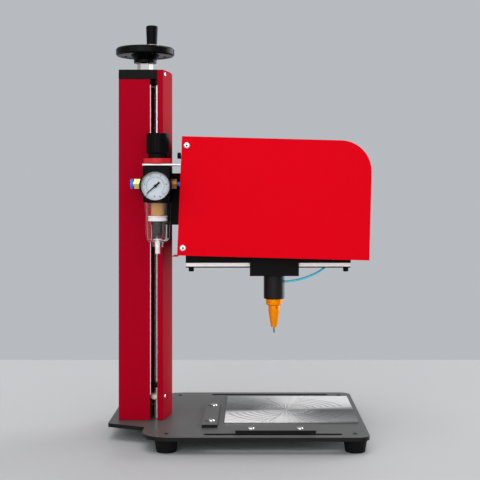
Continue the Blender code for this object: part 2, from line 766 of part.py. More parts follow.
def bar_profile(radius, low, high):
    """Return the profile of a plain round bar."""
    return [(0.0, high), (radius, high), (radius, low), (0.0, low)]


def ring_profile(bore, radius, low, high):
    """Return the closed profile of a plain ring."""
    return [(bore, high), (radius, high), (radius, low), (bore, low)]


def build_lead_screw(frame, wheel, crank):
    """Build the lead screw, its bearings and lock nut, the handwheel and its revolving handle."""
    axis = (0.0, 0.0, 0.0)
    bore = JOURNAL_RADIUS + GAP
    lower_top = COLUMN_FOOT + LOWER_BEARING_HEIGHT
    lower = ring_profile(bore, LOWER_BEARING_RADIUS, COLUMN_FOOT, lower_top)
    make_turned("lower_bearing", lower, axis, "steel", frame, closed=True)
    upper = ring_profile(bore, BEARING_RADIUS, COLUMN_TOP, CAP_TOP)
    make_turned("upper_bearing", upper, axis, "steel", frame, closed=True)

    web_top = WHEEL_TOP - WHEEL_WEB_DROP
    web_bottom = web_top - WHEEL_WEB
    screw_end = web_bottom
    screw_profile = [
        (0.0, screw_end),
        (JOURNAL_RADIUS, screw_end),
        (JOURNAL_RADIUS, COLUMN_TOP - GAP),
        (SCREW_RADIUS, COLUMN_TOP - GAP),
        (SCREW_RADIUS, lower_top + GAP),
        (JOURNAL_RADIUS, lower_top + GAP),
        (JOURNAL_RADIUS, COLUMN_FOOT + GAP),
        (0.0, COLUMN_FOOT + GAP),
    ]
    make_turned("lead_screw", screw_profile, axis, "steel", wheel)

    nut_outlines = [hexagon(0.0, 0.0, LOCK_NUT_FLATS), circle(0.0, 0.0, bore)]
    make_outline("lock_nut", nut_outlines, LOCK_NUT_BOTTOM, LOCK_NUT_TOP, "chrome", wheel)

    rim_bottom = WHEEL_TOP - WHEEL_RIM_HEIGHT
    rim_inner = WHEEL_RADIUS - WHEEL_RIM_WIDTH
    edge = WHEEL_EDGE_RADIUS
    lip_top = WHEEL_HUB_BOTTOM + WHEEL_HUB_LIP
    wheel_profile = [
        (0.0, web_top),
        (rim_inner, web_top),
        (rim_inner + edge, WHEEL_TOP),
        (WHEEL_RADIUS - edge, WHEEL_TOP),
        (WHEEL_RADIUS, WHEEL_TOP - edge),
        (WHEEL_RADIUS, rim_bottom + edge),
        (WHEEL_RADIUS - edge, rim_bottom),
        (rim_inner, rim_bottom),
        (rim_inner - edge, web_bottom),
        (WHEEL_HUB_FLARE, web_bottom),
        (WHEEL_HUB_FLARE, rim_bottom),
        (WHEEL_HUB_RADIUS, lip_top),
        (WHEEL_HUB_RADIUS, WHEEL_HUB_BOTTOM),
        (bore, WHEEL_HUB_BOTTOM),
        (bore, screw_end + GAP),
        (0.0, screw_end + GAP),
    ]
    handwheel = as_mesh(make_turned("handwheel", wheel_profile, axis, "black_plastic", wheel, WHEEL_STEPS))

    stud_axis = (CRANK_X, CRANK_Y, 0.0)
    hole_profile = bar_profile(STUD_RADIUS + RING_GAP, web_bottom - OVERRUN, WHEEL_TOP + OVERRUN)
    hole = make_turned("stud_hole", hole_profile, stud_axis, "steel", wheel)
    combine(handwheel, as_mesh(hole), "DIFFERENCE")
    washer_top = web_top + GAP + CRANK_WASHER_HEIGHT
    stud_top = CRANK_TOP - STUD_TOP_COVER
    stud_profile = [
        (0.0, stud_top),
        (STUD_RADIUS, stud_top),
        (STUD_RADIUS, washer_top),
        (CRANK_WASHER_RADIUS, washer_top),
        (CRANK_WASHER_RADIUS, web_top + GAP),
        (STUD_RADIUS, web_top + GAP),
        (STUD_RADIUS, web_bottom),
        (0.0, web_bottom),
    ]
    make_turned("handle_stud", stud_profile, stud_axis, "chrome", wheel)

    foot = washer_top + GAP
    dome = CRANK_RADIUS
    shoulder = CRANK_TOP - dome / 2
    crank_bore = STUD_RADIUS + GAP
    crank_profile = [(0.0, CRANK_TOP)]
    for step in range(1, CORNER_STEPS + 1):
        turn = math.pi / 2 * step / CORNER_STEPS
        crank_profile.append((dome * math.sin(turn), shoulder + dome / 2 * math.cos(turn)))
    crank_profile += [
        (CRANK_FOOT_RADIUS, foot + CRANK_FOOT_RADIUS / 2),
        (CRANK_FOOT_RADIUS, foot),
        (crank_bore, foot),
        (crank_bore, stud_top + GAP),
        (0.0, stud_top + GAP),
    ]
    make_turned("crank_handle", crank_profile, stud_axis, "black_plastic", crank)


def build_lift(head):
    """Build the carriage that climbs the column, with its nut and bushings."""
    core = CARRIAGE_CORE_WIDTH / 2
    wide = CARRIAGE_WIDTH / 2
    arm_inner = COLUMN_HALF + RUNNING_GAP
    arm_outer = arm_inner + ARM_THICK
    neck_middle = (REAR_COVER_FRONT + FRONT_COVER_REAR) / 2
    neck_rear = neck_middle - ARM_NECK_THICK / 2
    neck_front = neck_middle + ARM_NECK_THICK / 2
    half_outline = [
        (-CARRIAGE_REAR, core),
        (CARRIAGE_SHOULDER_X, core),
        (CARRIAGE_SHOULDER_X, wide),
        (neck_rear, wide),
        (neck_rear, arm_outer),
        (ARM_END_X, arm_outer),
        (ARM_END_X, arm_inner),
        (neck_front, arm_inner),
        (neck_front, wide),
        (CARRIAGE_FRONT - CARRIAGE_CHAMFER_X, wide),
        (CARRIAGE_FRONT, wide - CARRIAGE_CHAMFER_Y),
    ]
    outlines = [mirrored(half_outline), circle(0.0, 0.0, NUT_RADIUS + RING_GAP, ROUND_STEPS)]
    for y in (-ROD_Y, ROD_Y):
        outlines.append(circle(ROD_X, y, BUSHING_RADIUS + RING_GAP, ROUND_STEPS))
    make_outline("lift_carriage", outlines, CARRIAGE_BOTTOM, CARRIAGE_TOP, "black_anodised", head)

    bushing = ring_profile(ROD_RADIUS + RING_GAP, BUSHING_RADIUS, CARRIAGE_BOTTOM, CARRIAGE_TOP)
    for side, y in (("near", -ROD_Y), ("far", ROD_Y)):
        make_turned(f"rod_bushing_{side}", bushing, (ROD_X, y, 0.0), "brass", head, closed=True)

    flange_bottom = CARRIAGE_TOP + GAP
    flange_top = flange_bottom + NUT_FLANGE_HEIGHT
    nut_profile = [
        (SCREW_RADIUS + RING_GAP, flange_top),
        (NUT_FLANGE_RADIUS, flange_top),
        (NUT_FLANGE_RADIUS, flange_bottom),
        (NUT_RADIUS, flange_bottom),
        (NUT_RADIUS, CARRIAGE_TOP - NUT_DEPTH),
        (SCREW_RADIUS + RING_GAP, CARRIAGE_TOP - NUT_DEPTH),
    ]
    make_turned("lift_nut", nut_profile, (0.0, 0.0, 0.0), "brass", head, closed=True)


def build_head(head):
    """Build the head's cover, back plate, stage plate, cross rails and stage motor."""
    plate_half = BACK_PLATE_WIDTH / 2
    make_box(
        "head_back_plate",
        (BACK_PLATE_X, -plate_half, BACK_PLATE_BOTTOM),
        (BACK_PLATE_X + BACK_PLATE_THICK, plate_half, BACK_PLATE_TOP),
        "black_paint", head,
    )
    build_head_cover(head)

    stage_half = STAGE_PLATE_WIDTH / 2
    stage_front = STAGE_PLATE_X + STAGE_PLATE_LENGTH
    window_half = STAGE_WINDOW_WIDTH / 2
    window_rear = STAGE_PLATE_X + STAGE_WINDOW_REAR
    window_front = window_rear + STAGE_WINDOW_LENGTH
    stage_outlines = [
        rectangle(STAGE_PLATE_X, -stage_half, stage_front, stage_half, STAGE_CORNER),
        rectangle(window_rear, -window_half, window_front, window_half, STAGE_CORNER),
    ]
    make_outline("stage_plate", stage_outlines, STAGE_PLATE_BOTTOM, STAGE_PLATE_TOP, "black_anodised", head)

    rail_half = CROSS_RAIL_WIDTH / 2
    rail_end = CROSS_RAIL_LENGTH / 2
    for name, x in (("cross_rail_rear", CROSS_RAIL_REAR_X), ("cross_rail_front", CROSS_RAIL_FRONT_X)):
        low = (x - rail_half, -rail_end, CROSS_RAIL_BOTTOM)
        high = (x + rail_half, rail_end, CROSS_RAIL_TOP)
        make_box(name, low, high, "steel", head)

    motor_half = STAGE_MOTOR_SIDE / 2
    motor_bottom = STAGE_PLATE_TOP + GAP
    make_box(
        "stage_motor",
        (STAGE_MOTOR_X - motor_half, STAGE_MOTOR_Y - motor_half, motor_bottom),
        (STAGE_MOTOR_X + motor_half, STAGE_MOTOR_Y + motor_half, motor_bottom + STAGE_MOTOR_HEIGHT),
        "black_anodised", head, bevel=MOTOR_BEVEL,
    )


def build_head_cover(head):
    """Build the folded cover: two sides, top, rounded front corner and front, open below and behind."""
    arc_x = COVER_LENGTH - COVER_RADIUS
    arc_z = COVER_HEIGHT - COVER_RADIUS
    outline = [(0.0, 0.0), (COVER_TOP_SETBACK, COVER_HEIGHT)]
    for step in range(COVER_ARC_STEPS + 1):
        turn = math.pi / 2 * (1 - step / COVER_ARC_STEPS)
        outline.append((arc_x + COVER_RADIUS * math.cos(turn), arc_z + COVER_RADIUS * math.sin(turn)))
    outline.append((COVER_LENGTH, 0.0))

    bm = bmesh.new()
    corners = [bm.verts.new((x, -COVER_WIDTH / 2, z)) for x, z in outline]
    side = bm.faces.new(corners)
    pulled = bmesh.ops.extrude_face_region(bm, geom=[side], use_keep_orig=True)
    moved = [item for item in pulled["geom"] if isinstance(item, bmesh.types.BMVert)]
    bmesh.ops.translate(bm, vec=(0.0, COVER_WIDTH, 0.0), verts=moved)
    bm.normal_update()
    slack = COVER_SHEET / 2
    open_faces = []
    for face in bm.faces:
        middle = face.calc_center_median()
        if abs(middle.y) > slack:
            continue
        if middle.z < slack or middle.x < COVER_TOP_SETBACK:
            open_faces.append(face)
    bmesh.ops.delete(bm, geom=open_faces, context="FACES_ONLY")
    bmesh.ops.recalc_face_normals(bm, faces=bm.faces)
    mesh = mesh_from(bm, "head_cover")
    cover = bpy.data.objects.new("head_cover", mesh)
    wall = cover.modifiers.new("sheet", "SOLIDIFY")
    wall.thickness = HEAD_SHEET
    wall.offset = -1.0
    wall.use_even_offset = True
    cover.rotation_euler = (0.0, COVER_TILT, 0.0)
    place(cover, "red_paint", head, (COVER_REAR_X, 0.0, COVER_REAR_Z))


def build_gantry(gantry):
    """Build the gantry beam with its shoes, the pin rail beneath it and the gantry motor."""
    front = GANTRY_REAR_X + GANTRY_LENGTH
    groove_half = CROSS_RAIL_WIDTH / 2 + GAP
    shoe_half = groove_half + SHOE_WALL
    groove_floor = CROSS_RAIL_BOTTOM - GAP
    shoe_top = groove_floor + SHOE_REACH
    outline = [(GANTRY_REAR_X, GANTRY_BOTTOM), (front, GANTRY_BOTTOM), (front, GANTRY_TOP)]
    for x in (CROSS_RAIL_FRONT_X, CROSS_RAIL_REAR_X):
        outline += [
            (x + shoe_half, GANTRY_TOP),
            (x + shoe_half, shoe_top),
            (x + groove_half, shoe_top),
            (x + groove_half, groove_floor),
            (x - groove_half, groove_floor),
            (x - groove_half, shoe_top),
            (x - shoe_half, shoe_top),
            (x - shoe_half, GANTRY_TOP),
        ]
    outline.append((GANTRY_REAR_X, GANTRY_TOP))
    near = GANTRY_Y - GANTRY_DEPTH / 2
    far = GANTRY_Y + GANTRY_DEPTH / 2
    beam = as_mesh(make_outline("gantry_beam", [outline], near, far, "black_anodised", gantry, facing="Y"))
    clip = make_box(
        "hose_clip",
        (HOSE_CLIP_X, far - OVERRUN, GANTRY_TOP - HOSE_CLIP_HEIGHT - GAP),
        (HOSE_CLIP_X + HOSE_CLIP_WIDTH, far + HOSE_CLIP_REACH, GANTRY_TOP - GAP),
        "black_anodised", gantry,
    )
    combine(beam, clip, "UNION")

    rail_half = PIN_RAIL_WIDTH / 2
    make_box(
        "pin_rail",
        (GANTRY_REAR_X, GANTRY_Y - rail_half, PIN_RAIL_BOTTOM),
        (front, GANTRY_Y + rail_half, GANTRY_BOTTOM - GAP),
        "steel", gantry,
    )
    motor_half = GANTRY_MOTOR_SIDE / 2
    motor_bottom = GANTRY_TOP + GAP
    make_box(
        "gantry_motor",
        (GANTRY_MOTOR_X - motor_half, GANTRY_Y - motor_half, motor_bottom),
        (GANTRY_MOTOR_X + motor_half, GANTRY_Y + motor_half, motor_bottom + GANTRY_MOTOR_HEIGHT),
        "black_anodised", gantry, bevel=MOTOR_BEVEL,
    )


def build_pin(carriage, pin):
    """Build the pin carriage, the air cylinder, the nose, the marking pin and its return spring."""
    channel_half = PIN_RAIL_WIDTH / 2 + GAP
    channel_floor = PIN_RAIL_BOTTOM - GAP
    lip_top = GANTRY_BOTTOM - RUNNING_GAP
    cheek_inner = GANTRY_Y - GANTRY_DEPTH / 2 - RUNNING_GAP
    near = cheek_inner - BLOCK_CHEEK
    far = GANTRY_Y + channel_half + BLOCK_FAR_WALL
    outline = [
        (near, BLOCK_BOTTOM),
        (far, BLOCK_BOTTOM),
        (far, lip_top),
        (GANTRY_Y + channel_half, lip_top),
        (GANTRY_Y + channel_half, channel_floor),
        (GANTRY_Y - channel_half, channel_floor),
        (GANTRY_Y - channel_half, lip_top),
        (cheek_inner, lip_top),
        (cheek_inner, BLOCK_CHEEK_TOP),
        (near, BLOCK_CHEEK_TOP),
    ]
    rear = PIN_X - BLOCK_LENGTH / 2
    front = rear + BLOCK_LENGTH
    make_outline("carriage_block", [outline], rear, front, "black_anodised", carriage, facing="X")

    axis = (PIN_X, GANTRY_Y, 0.0)
    bore_top = CYLINDER_BOTTOM + PISTON_BORE_DEPTH
    cylinder_profile = [
        (0.0, CYLINDER_TOP),
        (CYLINDER_RADIUS, CYLINDER_TOP),
        (CYLINDER_RADIUS, CYLINDER_BOTTOM + CYLINDER_EDGE),
        (CYLINDER_RADIUS - CYLINDER_EDGE, CYLINDER_BOTTOM),
        (PISTON_BORE, CYLINDER_BOTTOM),
        (PISTON_BORE, bore_top),
        (0.0, bore_top),
    ]
    make_turned("pin_cylinder", cylinder_profile, axis, "black_anodised", carriage)

    collar_bottom = NOSE_TOP - NOSE_COLLAR_HEIGHT
    neck_top = collar_bottom - NOSE_SHOULDER
    guide_top = NOSE_TIP_Z + NOSE_GUIDE_HEIGHT
    guide_bore = PIN_RADIUS + PIN_GUIDE_GAP
    nose_profile = [
        (NOSE_BORE, NOSE_TOP),
        (NOSE_COLLAR_RADIUS, NOSE_TOP),
        (NOSE_COLLAR_RADIUS - NOSE_COLLAR_TAPER, collar_bottom),
        (NOSE_NECK_RADIUS, neck_top),
        (NOSE_NECK_RADIUS, neck_top - NOSE_NECK_HEIGHT),
        (NOSE_TIP_RADIUS, NOSE_TIP_Z),
        (guide_bore, NOSE_TIP_Z),
        (guide_bore, guide_top),
        (NOSE_BORE, guide_top),
    ]
    make_turned("pin_nose", nose_profile, axis, "orange_anodised", carriage, closed=True)

    seat_top = SPRING_SEAT_Z + SPRING_SEAT_HEIGHT
    pin_profile = [
        (0.0, PISTON_Z + PISTON_HEIGHT),
        (PISTON_BORE - GAP, PISTON_Z + PISTON_HEIGHT),
        (PISTON_BORE - GAP, PISTON_Z),
        (PISTON_ROD_RADIUS, PISTON_Z),
        (PISTON_ROD_RADIUS, seat_top),
        (SPRING_SEAT_RADIUS, seat_top),
        (SPRING_SEAT_RADIUS, SPRING_SEAT_Z),
        (PIN_RADIUS, SPRING_SEAT_Z),
        (PIN_RADIUS, PIN_TIP_Z + PIN_POINT),
        (0.0, PIN_TIP_Z),
    ]
    make_turned("marking_pin", pin_profile, axis, "steel", pin, steps=SMALL_STEPS)

    coil_radius = (SPRING_SEAT_RADIUS + PIN_RADIUS) / 2
    low = guide_top + GAP + SPRING_WIRE
    high = SPRING_SEAT_Z - GAP - SPRING_WIRE
    route = []
    for i in range(SPRING_TURNS * SPRING_TURN_POINTS + 1):
        turn = 2 * math.pi * i / SPRING_TURN_POINTS
        share = i / (SPRING_TURNS * SPRING_TURN_POINTS)
        x = PIN_X + coil_radius * math.cos(turn)
        y = GANTRY_Y + coil_radius * math.sin(turn)
        route.append((x, y, low + share * (high - low)))
    make_tube("return_spring", route, SPRING_WIRE / 2, "steel", carriage, detail=1)


def build_regulator(head, knob, valve):
    """Build the regulator's body, bracket, ring nut and knob, and the filter bowl under it."""
    half = UNIT_SIDE / 2
    axis = (UNIT_X, UNIT_Y, 0.0)
    body = as_mesh(make_box(
        "regulator_body",
        (UNIT_X - half, UNIT_Y - half, UNIT_BOTTOM),
        (UNIT_X + half, UNIT_Y + half, UNIT_TOP),
        "black_plastic", head, bevel=UNIT_BEVEL,
    ))
    bonnet_profile = bar_profile(BONNET_RADIUS, UNIT_TOP - OVERRUN, UNIT_TOP + BONNET_HEIGHT)
    bonnet = make_turned("bonnet", bonnet_profile, axis, "black_plastic", head)
    combine(body, as_mesh(bonnet), "UNION")

    build_bracket(head)
    ring_top = RING_NUT_BOTTOM + RING_NUT_HEIGHT
    ring = ring_profile(BONNET_RADIUS + GAP, RING_NUT_RADIUS, RING_NUT_BOTTOM, ring_top)
    make_turned("ring_nut", ring, axis, "red_plastic", head, closed=True)

    knob_top = KNOB_BOTTOM + KNOB_HEIGHT
    foot_top = KNOB_BOTTOM + KNOB_FOOT_HEIGHT
    knob_profile = [
        (0.0, knob_top),
        (KNOB_RADIUS - KNOB_EDGE, knob_top),
        (KNOB_RADIUS, knob_top - KNOB_EDGE),
        (KNOB_RADIUS, foot_top),
        (KNOB_FOOT_RADIUS, foot_top),
        (KNOB_FOOT_RADIUS, KNOB_BOTTOM),
        (0.0, KNOB_BOTTOM),
    ]
    make_turned("regulator_knob", knob_profile, axis, "black_plastic", knob)

    bowl_top = UNIT_BOTTOM - GAP
    make_turned("filter_bowl", bowl_profile(bowl_top), axis, "clear_plastic", head, closed=True)
    element = ring_profile(ELEMENT_BORE, ELEMENT_RADIUS, bowl_top - ELEMENT_HEIGHT, bowl_top)
    make_turned("filter_element", element, axis, "amber_filter", head, closed=True)

    baffle_top = bowl_top - ELEMENT_HEIGHT - GAP
    baffle_bottom = baffle_top - BAFFLE_HEIGHT
    core_profile = [
        (0.0, bowl_top),
        (ELEMENT_BORE - GAP, bowl_top),
        (ELEMENT_BORE - GAP, baffle_top),
        (BAFFLE_RADIUS, baffle_top),
        (BAFFLE_RADIUS, baffle_bottom),
        (CORE_RADIUS, baffle_bottom),
        (CORE_RADIUS, CORE_BOTTOM),
        (0.0, CORE_BOTTOM),
    ]
    make_turned("filter_core", core_profile, axis, "white_plastic", head)

    floor_top = BOWL_BOTTOM + BOWL_WALL + GAP
    flange_top = floor_top + DRAIN_FLANGE_HEIGHT
    drain_profile = [
        (0.0, flange_top),
        (DRAIN_FLANGE_RADIUS, flange_top),
        (DRAIN_FLANGE_RADIUS, floor_top),
        (DRAIN_STEM_RADIUS, floor_top),
        (DRAIN_STEM_RADIUS, DRAIN_STEM_BOTTOM),
        (0.0, DRAIN_STEM_BOTTOM),
    ]
    make_turned("drain_valve", drain_profile, axis, "black_plastic", valve, steps=SMALL_STEPS)


def bowl_profile(top):
    """Return the closed profile of the clear filter bowl with its drain boss."""
    profile = [(BOWL_TOP_RADIUS - BOWL_WALL, top), (BOWL_TOP_RADIUS, top)]
    corner_x = BOWL_BOTTOM_RADIUS - BOWL_CORNER
    corner_z = BOWL_BOTTOM + BOWL_CORNER
    for step in range(CORNER_STEPS + 1):
        turn = math.pi / 2 * step / CORNER_STEPS
        profile.append((corner_x + BOWL_CORNER * math.cos(turn), corner_z - BOWL_CORNER * math.sin(turn)))
    profile += [
        (DRAIN_BOSS_RADIUS, BOWL_BOTTOM),
        (DRAIN_BOSS_RADIUS, BOWL_BOTTOM - DRAIN_BOSS_HEIGHT),
        (DRAIN_HOLE_RADIUS, BOWL_BOTTOM - DRAIN_BOSS_HEIGHT),
        (DRAIN_HOLE_RADIUS, BOWL_BOTTOM + BOWL_WALL),
    ]
    inner = BOWL_CORNER - BOWL_WALL
    for step in range(CORNER_STEPS + 1):
        turn = math.pi / 2 * (1 - step / CORNER_STEPS)
        profile.append((corner_x + inner * math.cos(turn), corner_z - inner * math.sin(turn)))
    return profile


def build_bracket(head):
    """Build the angle bracket that hangs the regulator on the head's back plate."""
    near_y = BRACKET_FAR_Y - BRACKET_WIDTH
    tongue_y = BRACKET_FAR_Y - BRACKET_TONGUE_WIDTH
    low = UNIT_TOP + GAP
    bend_x = ARM_END_X - BRACKET_SHEET / 2
    outline = [
        (BRACKET_REAR, near_y),
        (BRACKET_TONGUE_X, near_y),
        (BRACKET_TONGUE_X, tongue_y),
        (bend_x, tongue_y),
        (bend_x, BRACKET_FAR_Y),
        (BRACKET_REAR, BRACKET_FAR_Y),
    ]
    hole = circle(UNIT_X, UNIT_Y, BONNET_RADIUS + GAP, ROUND_STEPS)
    high = low + BRACKET_SHEET
    shelf = as_mesh(make_outline("regulator_bracket", [outline, hole], low, high, "steel", head))
    flange = make_box(
        "bracket_flange",
        (ARM_END_X - BRACKET_SHEET, tongue_y - GAP, low + BRACKET_SHEET / 2),
        (ARM_END_X, BRACKET_FAR_Y + GAP, low + BRACKET_FLANGE_HEIGHT),
        "steel", head,
    )
    combine(shelf, flange, "UNION")


def face_near(obj):
    """Turn a piece so that its own Z axis points to the near side."""
    obj.rotation_euler = (math.pi / 2, 0.0, 0.0)
    return obj


def build_gauge(head, pointer):
    """Build the pressure gauge: case, dial, pointer on its spindle, and lens."""
    axis = (GAUGE_X, UNIT_NEAR_Y, GAUGE_Z)
    front = GAUGE_REACH
    back = front - GAUGE_DEPTH
    floor = front - GAUGE_CAVITY_DEPTH
    case_profile = [
        (0.0, floor),
        (GAUGE_CAVITY_RADIUS, floor),
        (GAUGE_CAVITY_RADIUS, front),
        (GAUGE_RADIUS, front),
        (GAUGE_RADIUS, back),
        (GAUGE_STEM_RADIUS, back),
        (GAUGE_STEM_RADIUS, GAP),
        (0.0, GAP),
    ]
    face_near(make_turned("gauge_case", case_profile, axis, "black_plastic", head))

    fit = GAUGE_CAVITY_RADIUS - GAP
    dial_top = floor + GAP + DIAL_THICK
    dial = ring_profile(POINTER_SPINDLE_RADIUS + GAP, fit, floor + GAP, dial_top)
    face_near(make_turned("gauge_dial", dial, axis, "white_plastic", head, closed=True))
    lens_top = front - LENS_RECESS
    lens = bar_profile(fit, lens_top - LENS_THICK, lens_top)
    face_near(make_turned("gauge_lens", lens, axis, "clear_plastic", head))

    low = UNIT_NEAR_Y - dial_top - POINTER_LIFT - POINTER_THICK
    direction = Vector((math.cos(POINTER_REST_ANGLE), math.sin(POINTER_REST_ANGLE)))
    across = Vector((-direction.y, direction.x))
    centre = Vector((GAUGE_X, GAUGE_Z))
    needle = (
        (POINTER_LENGTH, -POINTER_TIP_HALF),
        (POINTER_LENGTH, POINTER_TIP_HALF),
        (0.0, POINTER_WAIST_HALF),
        (-POINTER_TAIL, POINTER_TAIL_HALF),
        (-POINTER_TAIL, -POINTER_TAIL_HALF),
        (0.0, -POINTER_WAIST_HALF),
    )
    outline = [tuple(centre + direction * reach + across * side) for reach, side in needle]
    high = low + POINTER_THICK
    flat = make_outline("gauge_pointer", [outline], low, high, "black_plastic", pointer, facing="Y")
    blade = as_mesh(flat)
    spindle = bar_profile(POINTER_SPINDLE_RADIUS, floor + GAP, dial_top + POINTER_LIFT + POINTER_THICK / 2)
    shaft = face_near(make_turned("pointer_spindle", spindle, axis, "steel", pointer, steps=SMALL_STEPS))
    combine(blade, as_mesh(shaft), "UNION")


def build_fittings(head, collet):
    """Build the air inlet with its release collar, and the outlet with its tube into the head."""
    left = UNIT_X - UNIT_SIDE / 2 - GAP
    hex_end = left - FITTING_LENGTH
    nose_end = hex_end - FITTING_NOSE_LENGTH
    outlines = [hexagon(UNIT_Y, PORT_Z, FITTING_FLATS), circle(UNIT_Y, PORT_Z, FITTING_BORE)]
    inlet = as_mesh(make_outline("inlet_fitting", outlines, hex_end, left, "brass", head, facing="X"))
    nose_outlines = [circle(UNIT_Y, PORT_Z, FITTING_NOSE_RADIUS), circle(UNIT_Y, PORT_Z, FITTING_BORE)]
    nose_root = hex_end + FITTING_BORE
    nose = make_outline("inlet_nose", nose_outlines, nose_end, nose_root, "brass", head, facing="X")
    combine(inlet, as_mesh(nose), "UNION")

    collet_near = hex_end - COLLET_TRAVEL - GAP
    collet_far = collet_near - COLLET_LENGTH
    collet_outlines = [
        circle(UNIT_Y, PORT_Z, COLLET_RADIUS, ROUND_STEPS),
        circle(UNIT_Y, PORT_Z, FITTING_NOSE_RADIUS + GAP),
    ]
    make_outline("inlet_collar", collet_outlines, collet_far, collet_near, "blue_plastic", collet, facing="X")

    right = UNIT_X + UNIT_SIDE / 2 + GAP
    outlet_end = right + OUTLET_LENGTH
    outlet_outlines = [
        hexagon(UNIT_Y, PORT_Z, FITTING_FLATS),
        circle(UNIT_Y, PORT_Z, OUTLET_TUBE_RADIUS + GAP),
    ]
    make_outline("outlet_fitting", outlet_outlines, right, outlet_end, "brass", head, facing="X")
    route = [
        (outlet_end - OUTLET_TUBE_SEAT, UNIT_Y, PORT_Z),
        ((outlet_end + ARM_END_X) / 2, UNIT_Y, PORT_Z),
        (ARM_END_X, UNIT_Y, PORT_Z),
    ]
    make_tube("outlet_tube", route, OUTLET_TUBE_RADIUS, "blue_plastic", head, detail=3)


def smooth_route(points, pieces):
    """Return points along a smooth curve through the given ones."""
    route = []
    for i in range(len(points) - 1):
        p0 = Vector(points[max(i - 1, 0)])
        p1 = Vector(points[i])
        p2 = Vector(points[i + 1])
        p3 = Vector(points[min(i + 2, len(points) - 1)])
        for piece in range(pieces):
            t = piece / pieces
            bend = p1 * 2 + (p2 - p0) * t + (p0 * 2 - p1 * 5 + p2 * 4 - p3) * t ** 2
            route.append((bend + (p1 * 3 - p0 - p2 * 3 + p3) * t ** 3) / 2)
    route.append(Vector(points[-1]))
    return route


def centre_on_origin(root):
    """Move the machine so that its bounding box is centred over the origin."""
    bpy.context.view_layer.update()
    graph = bpy.context.evaluated_depsgraph_get()
    reach = []
    for obj in PARTS.objects:
        if obj.type == "EMPTY":
            continue
        evaluated = obj.evaluated_get(graph)
        reach += [(evaluated.matrix_world @ vertex.co).x for vertex in evaluated.to_mesh().vertices]
        evaluated.to_mesh_clear()
    root.location.x = -(min(reach) + max(reach)) / 2


def main():
    """Build the whole machine, one body at a time."""
    root = make_empty("machine_origin", (0.0, 0.0, 0.0))
    frame = make_empty("frame", (0.0, 0.0, 0.0), root)
    wheel = make_empty("handwheel_axis", (0.0, 0.0, 0.0), root)
    crank = make_empty("crank_axis", (CRANK_X, CRANK_Y, 0.0), root)
    head = make_empty("head", (0.0, 0.0, 0.0), root)
    knob = make_empty("knob_axis", (UNIT_X, UNIT_Y, 0.0), root)
    pointer = make_empty("pointer_axis", (GAUGE_X, UNIT_NEAR_Y, GAUGE_Z), root)
    collet = make_empty("collet_axis", (UNIT_X, UNIT_Y, PORT_Z), root)
    valve = make_empty("drain_axis", (UNIT_X, UNIT_Y, 0.0), root)
    gantry = make_empty("gantry", (0.0, GANTRY_Y, 0.0), root)
    carriage = make_empty("pin_carriage", (PIN_X, GANTRY_Y, 0.0), root)
    pin = make_empty("pin_axis", (PIN_X, GANTRY_Y, 0.0), root)

    build_base(frame)
    build_column(frame)
    build_lead_screw(frame, wheel, crank)
    build_lift(head)
    build_head(head)
    build_regulator(head, knob, valve)
    build_gauge(head, pointer)
    build_fittings(head, collet)
    build_gantry(gantry)
    build_pin(carriage, pin)
    make_tube("air_hose", smooth_route(HOSE_ROUTE, 2), HOSE_RADIUS, "blue_plastic", gantry)
    centre_on_origin(root)


clear_scene()
PARTS = make_collection("nameplate_marking_machine")
CUTTERS = make_collection("cutters")
AXES = {}
main()
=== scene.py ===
"""Looks of the nameplate marking machine: fine meshes, finishes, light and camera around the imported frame."""

from __future__ import annotations

import json
import logging
import math
from dataclasses import dataclass
from enum import Enum
from functools import cache
from typing import Iterable, Sequence

import bmesh
import bpy
from mathutils import Matrix, Vector

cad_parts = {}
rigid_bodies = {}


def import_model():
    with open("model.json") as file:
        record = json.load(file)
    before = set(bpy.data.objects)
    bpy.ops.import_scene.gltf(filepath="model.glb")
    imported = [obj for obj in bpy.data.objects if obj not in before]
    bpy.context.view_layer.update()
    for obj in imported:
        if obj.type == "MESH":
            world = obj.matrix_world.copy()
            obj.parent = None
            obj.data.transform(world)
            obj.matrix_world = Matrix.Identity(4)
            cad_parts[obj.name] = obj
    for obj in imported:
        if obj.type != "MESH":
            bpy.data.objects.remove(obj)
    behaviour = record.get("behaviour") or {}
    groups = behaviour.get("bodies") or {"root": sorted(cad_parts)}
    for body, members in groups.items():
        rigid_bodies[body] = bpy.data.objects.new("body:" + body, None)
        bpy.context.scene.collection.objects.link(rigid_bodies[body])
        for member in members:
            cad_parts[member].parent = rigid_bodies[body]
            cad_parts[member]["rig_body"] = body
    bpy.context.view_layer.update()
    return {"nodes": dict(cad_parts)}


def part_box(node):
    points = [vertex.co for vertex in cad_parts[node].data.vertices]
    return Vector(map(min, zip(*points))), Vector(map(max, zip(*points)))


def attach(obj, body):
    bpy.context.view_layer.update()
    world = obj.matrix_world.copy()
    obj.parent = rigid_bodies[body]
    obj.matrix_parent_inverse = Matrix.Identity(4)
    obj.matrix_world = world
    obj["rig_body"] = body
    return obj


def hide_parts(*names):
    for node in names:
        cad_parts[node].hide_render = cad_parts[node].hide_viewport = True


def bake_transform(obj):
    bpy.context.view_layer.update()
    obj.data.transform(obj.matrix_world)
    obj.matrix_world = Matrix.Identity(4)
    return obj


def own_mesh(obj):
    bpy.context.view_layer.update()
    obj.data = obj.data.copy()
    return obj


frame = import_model()

LOG = logging.getLogger("marking_machine")

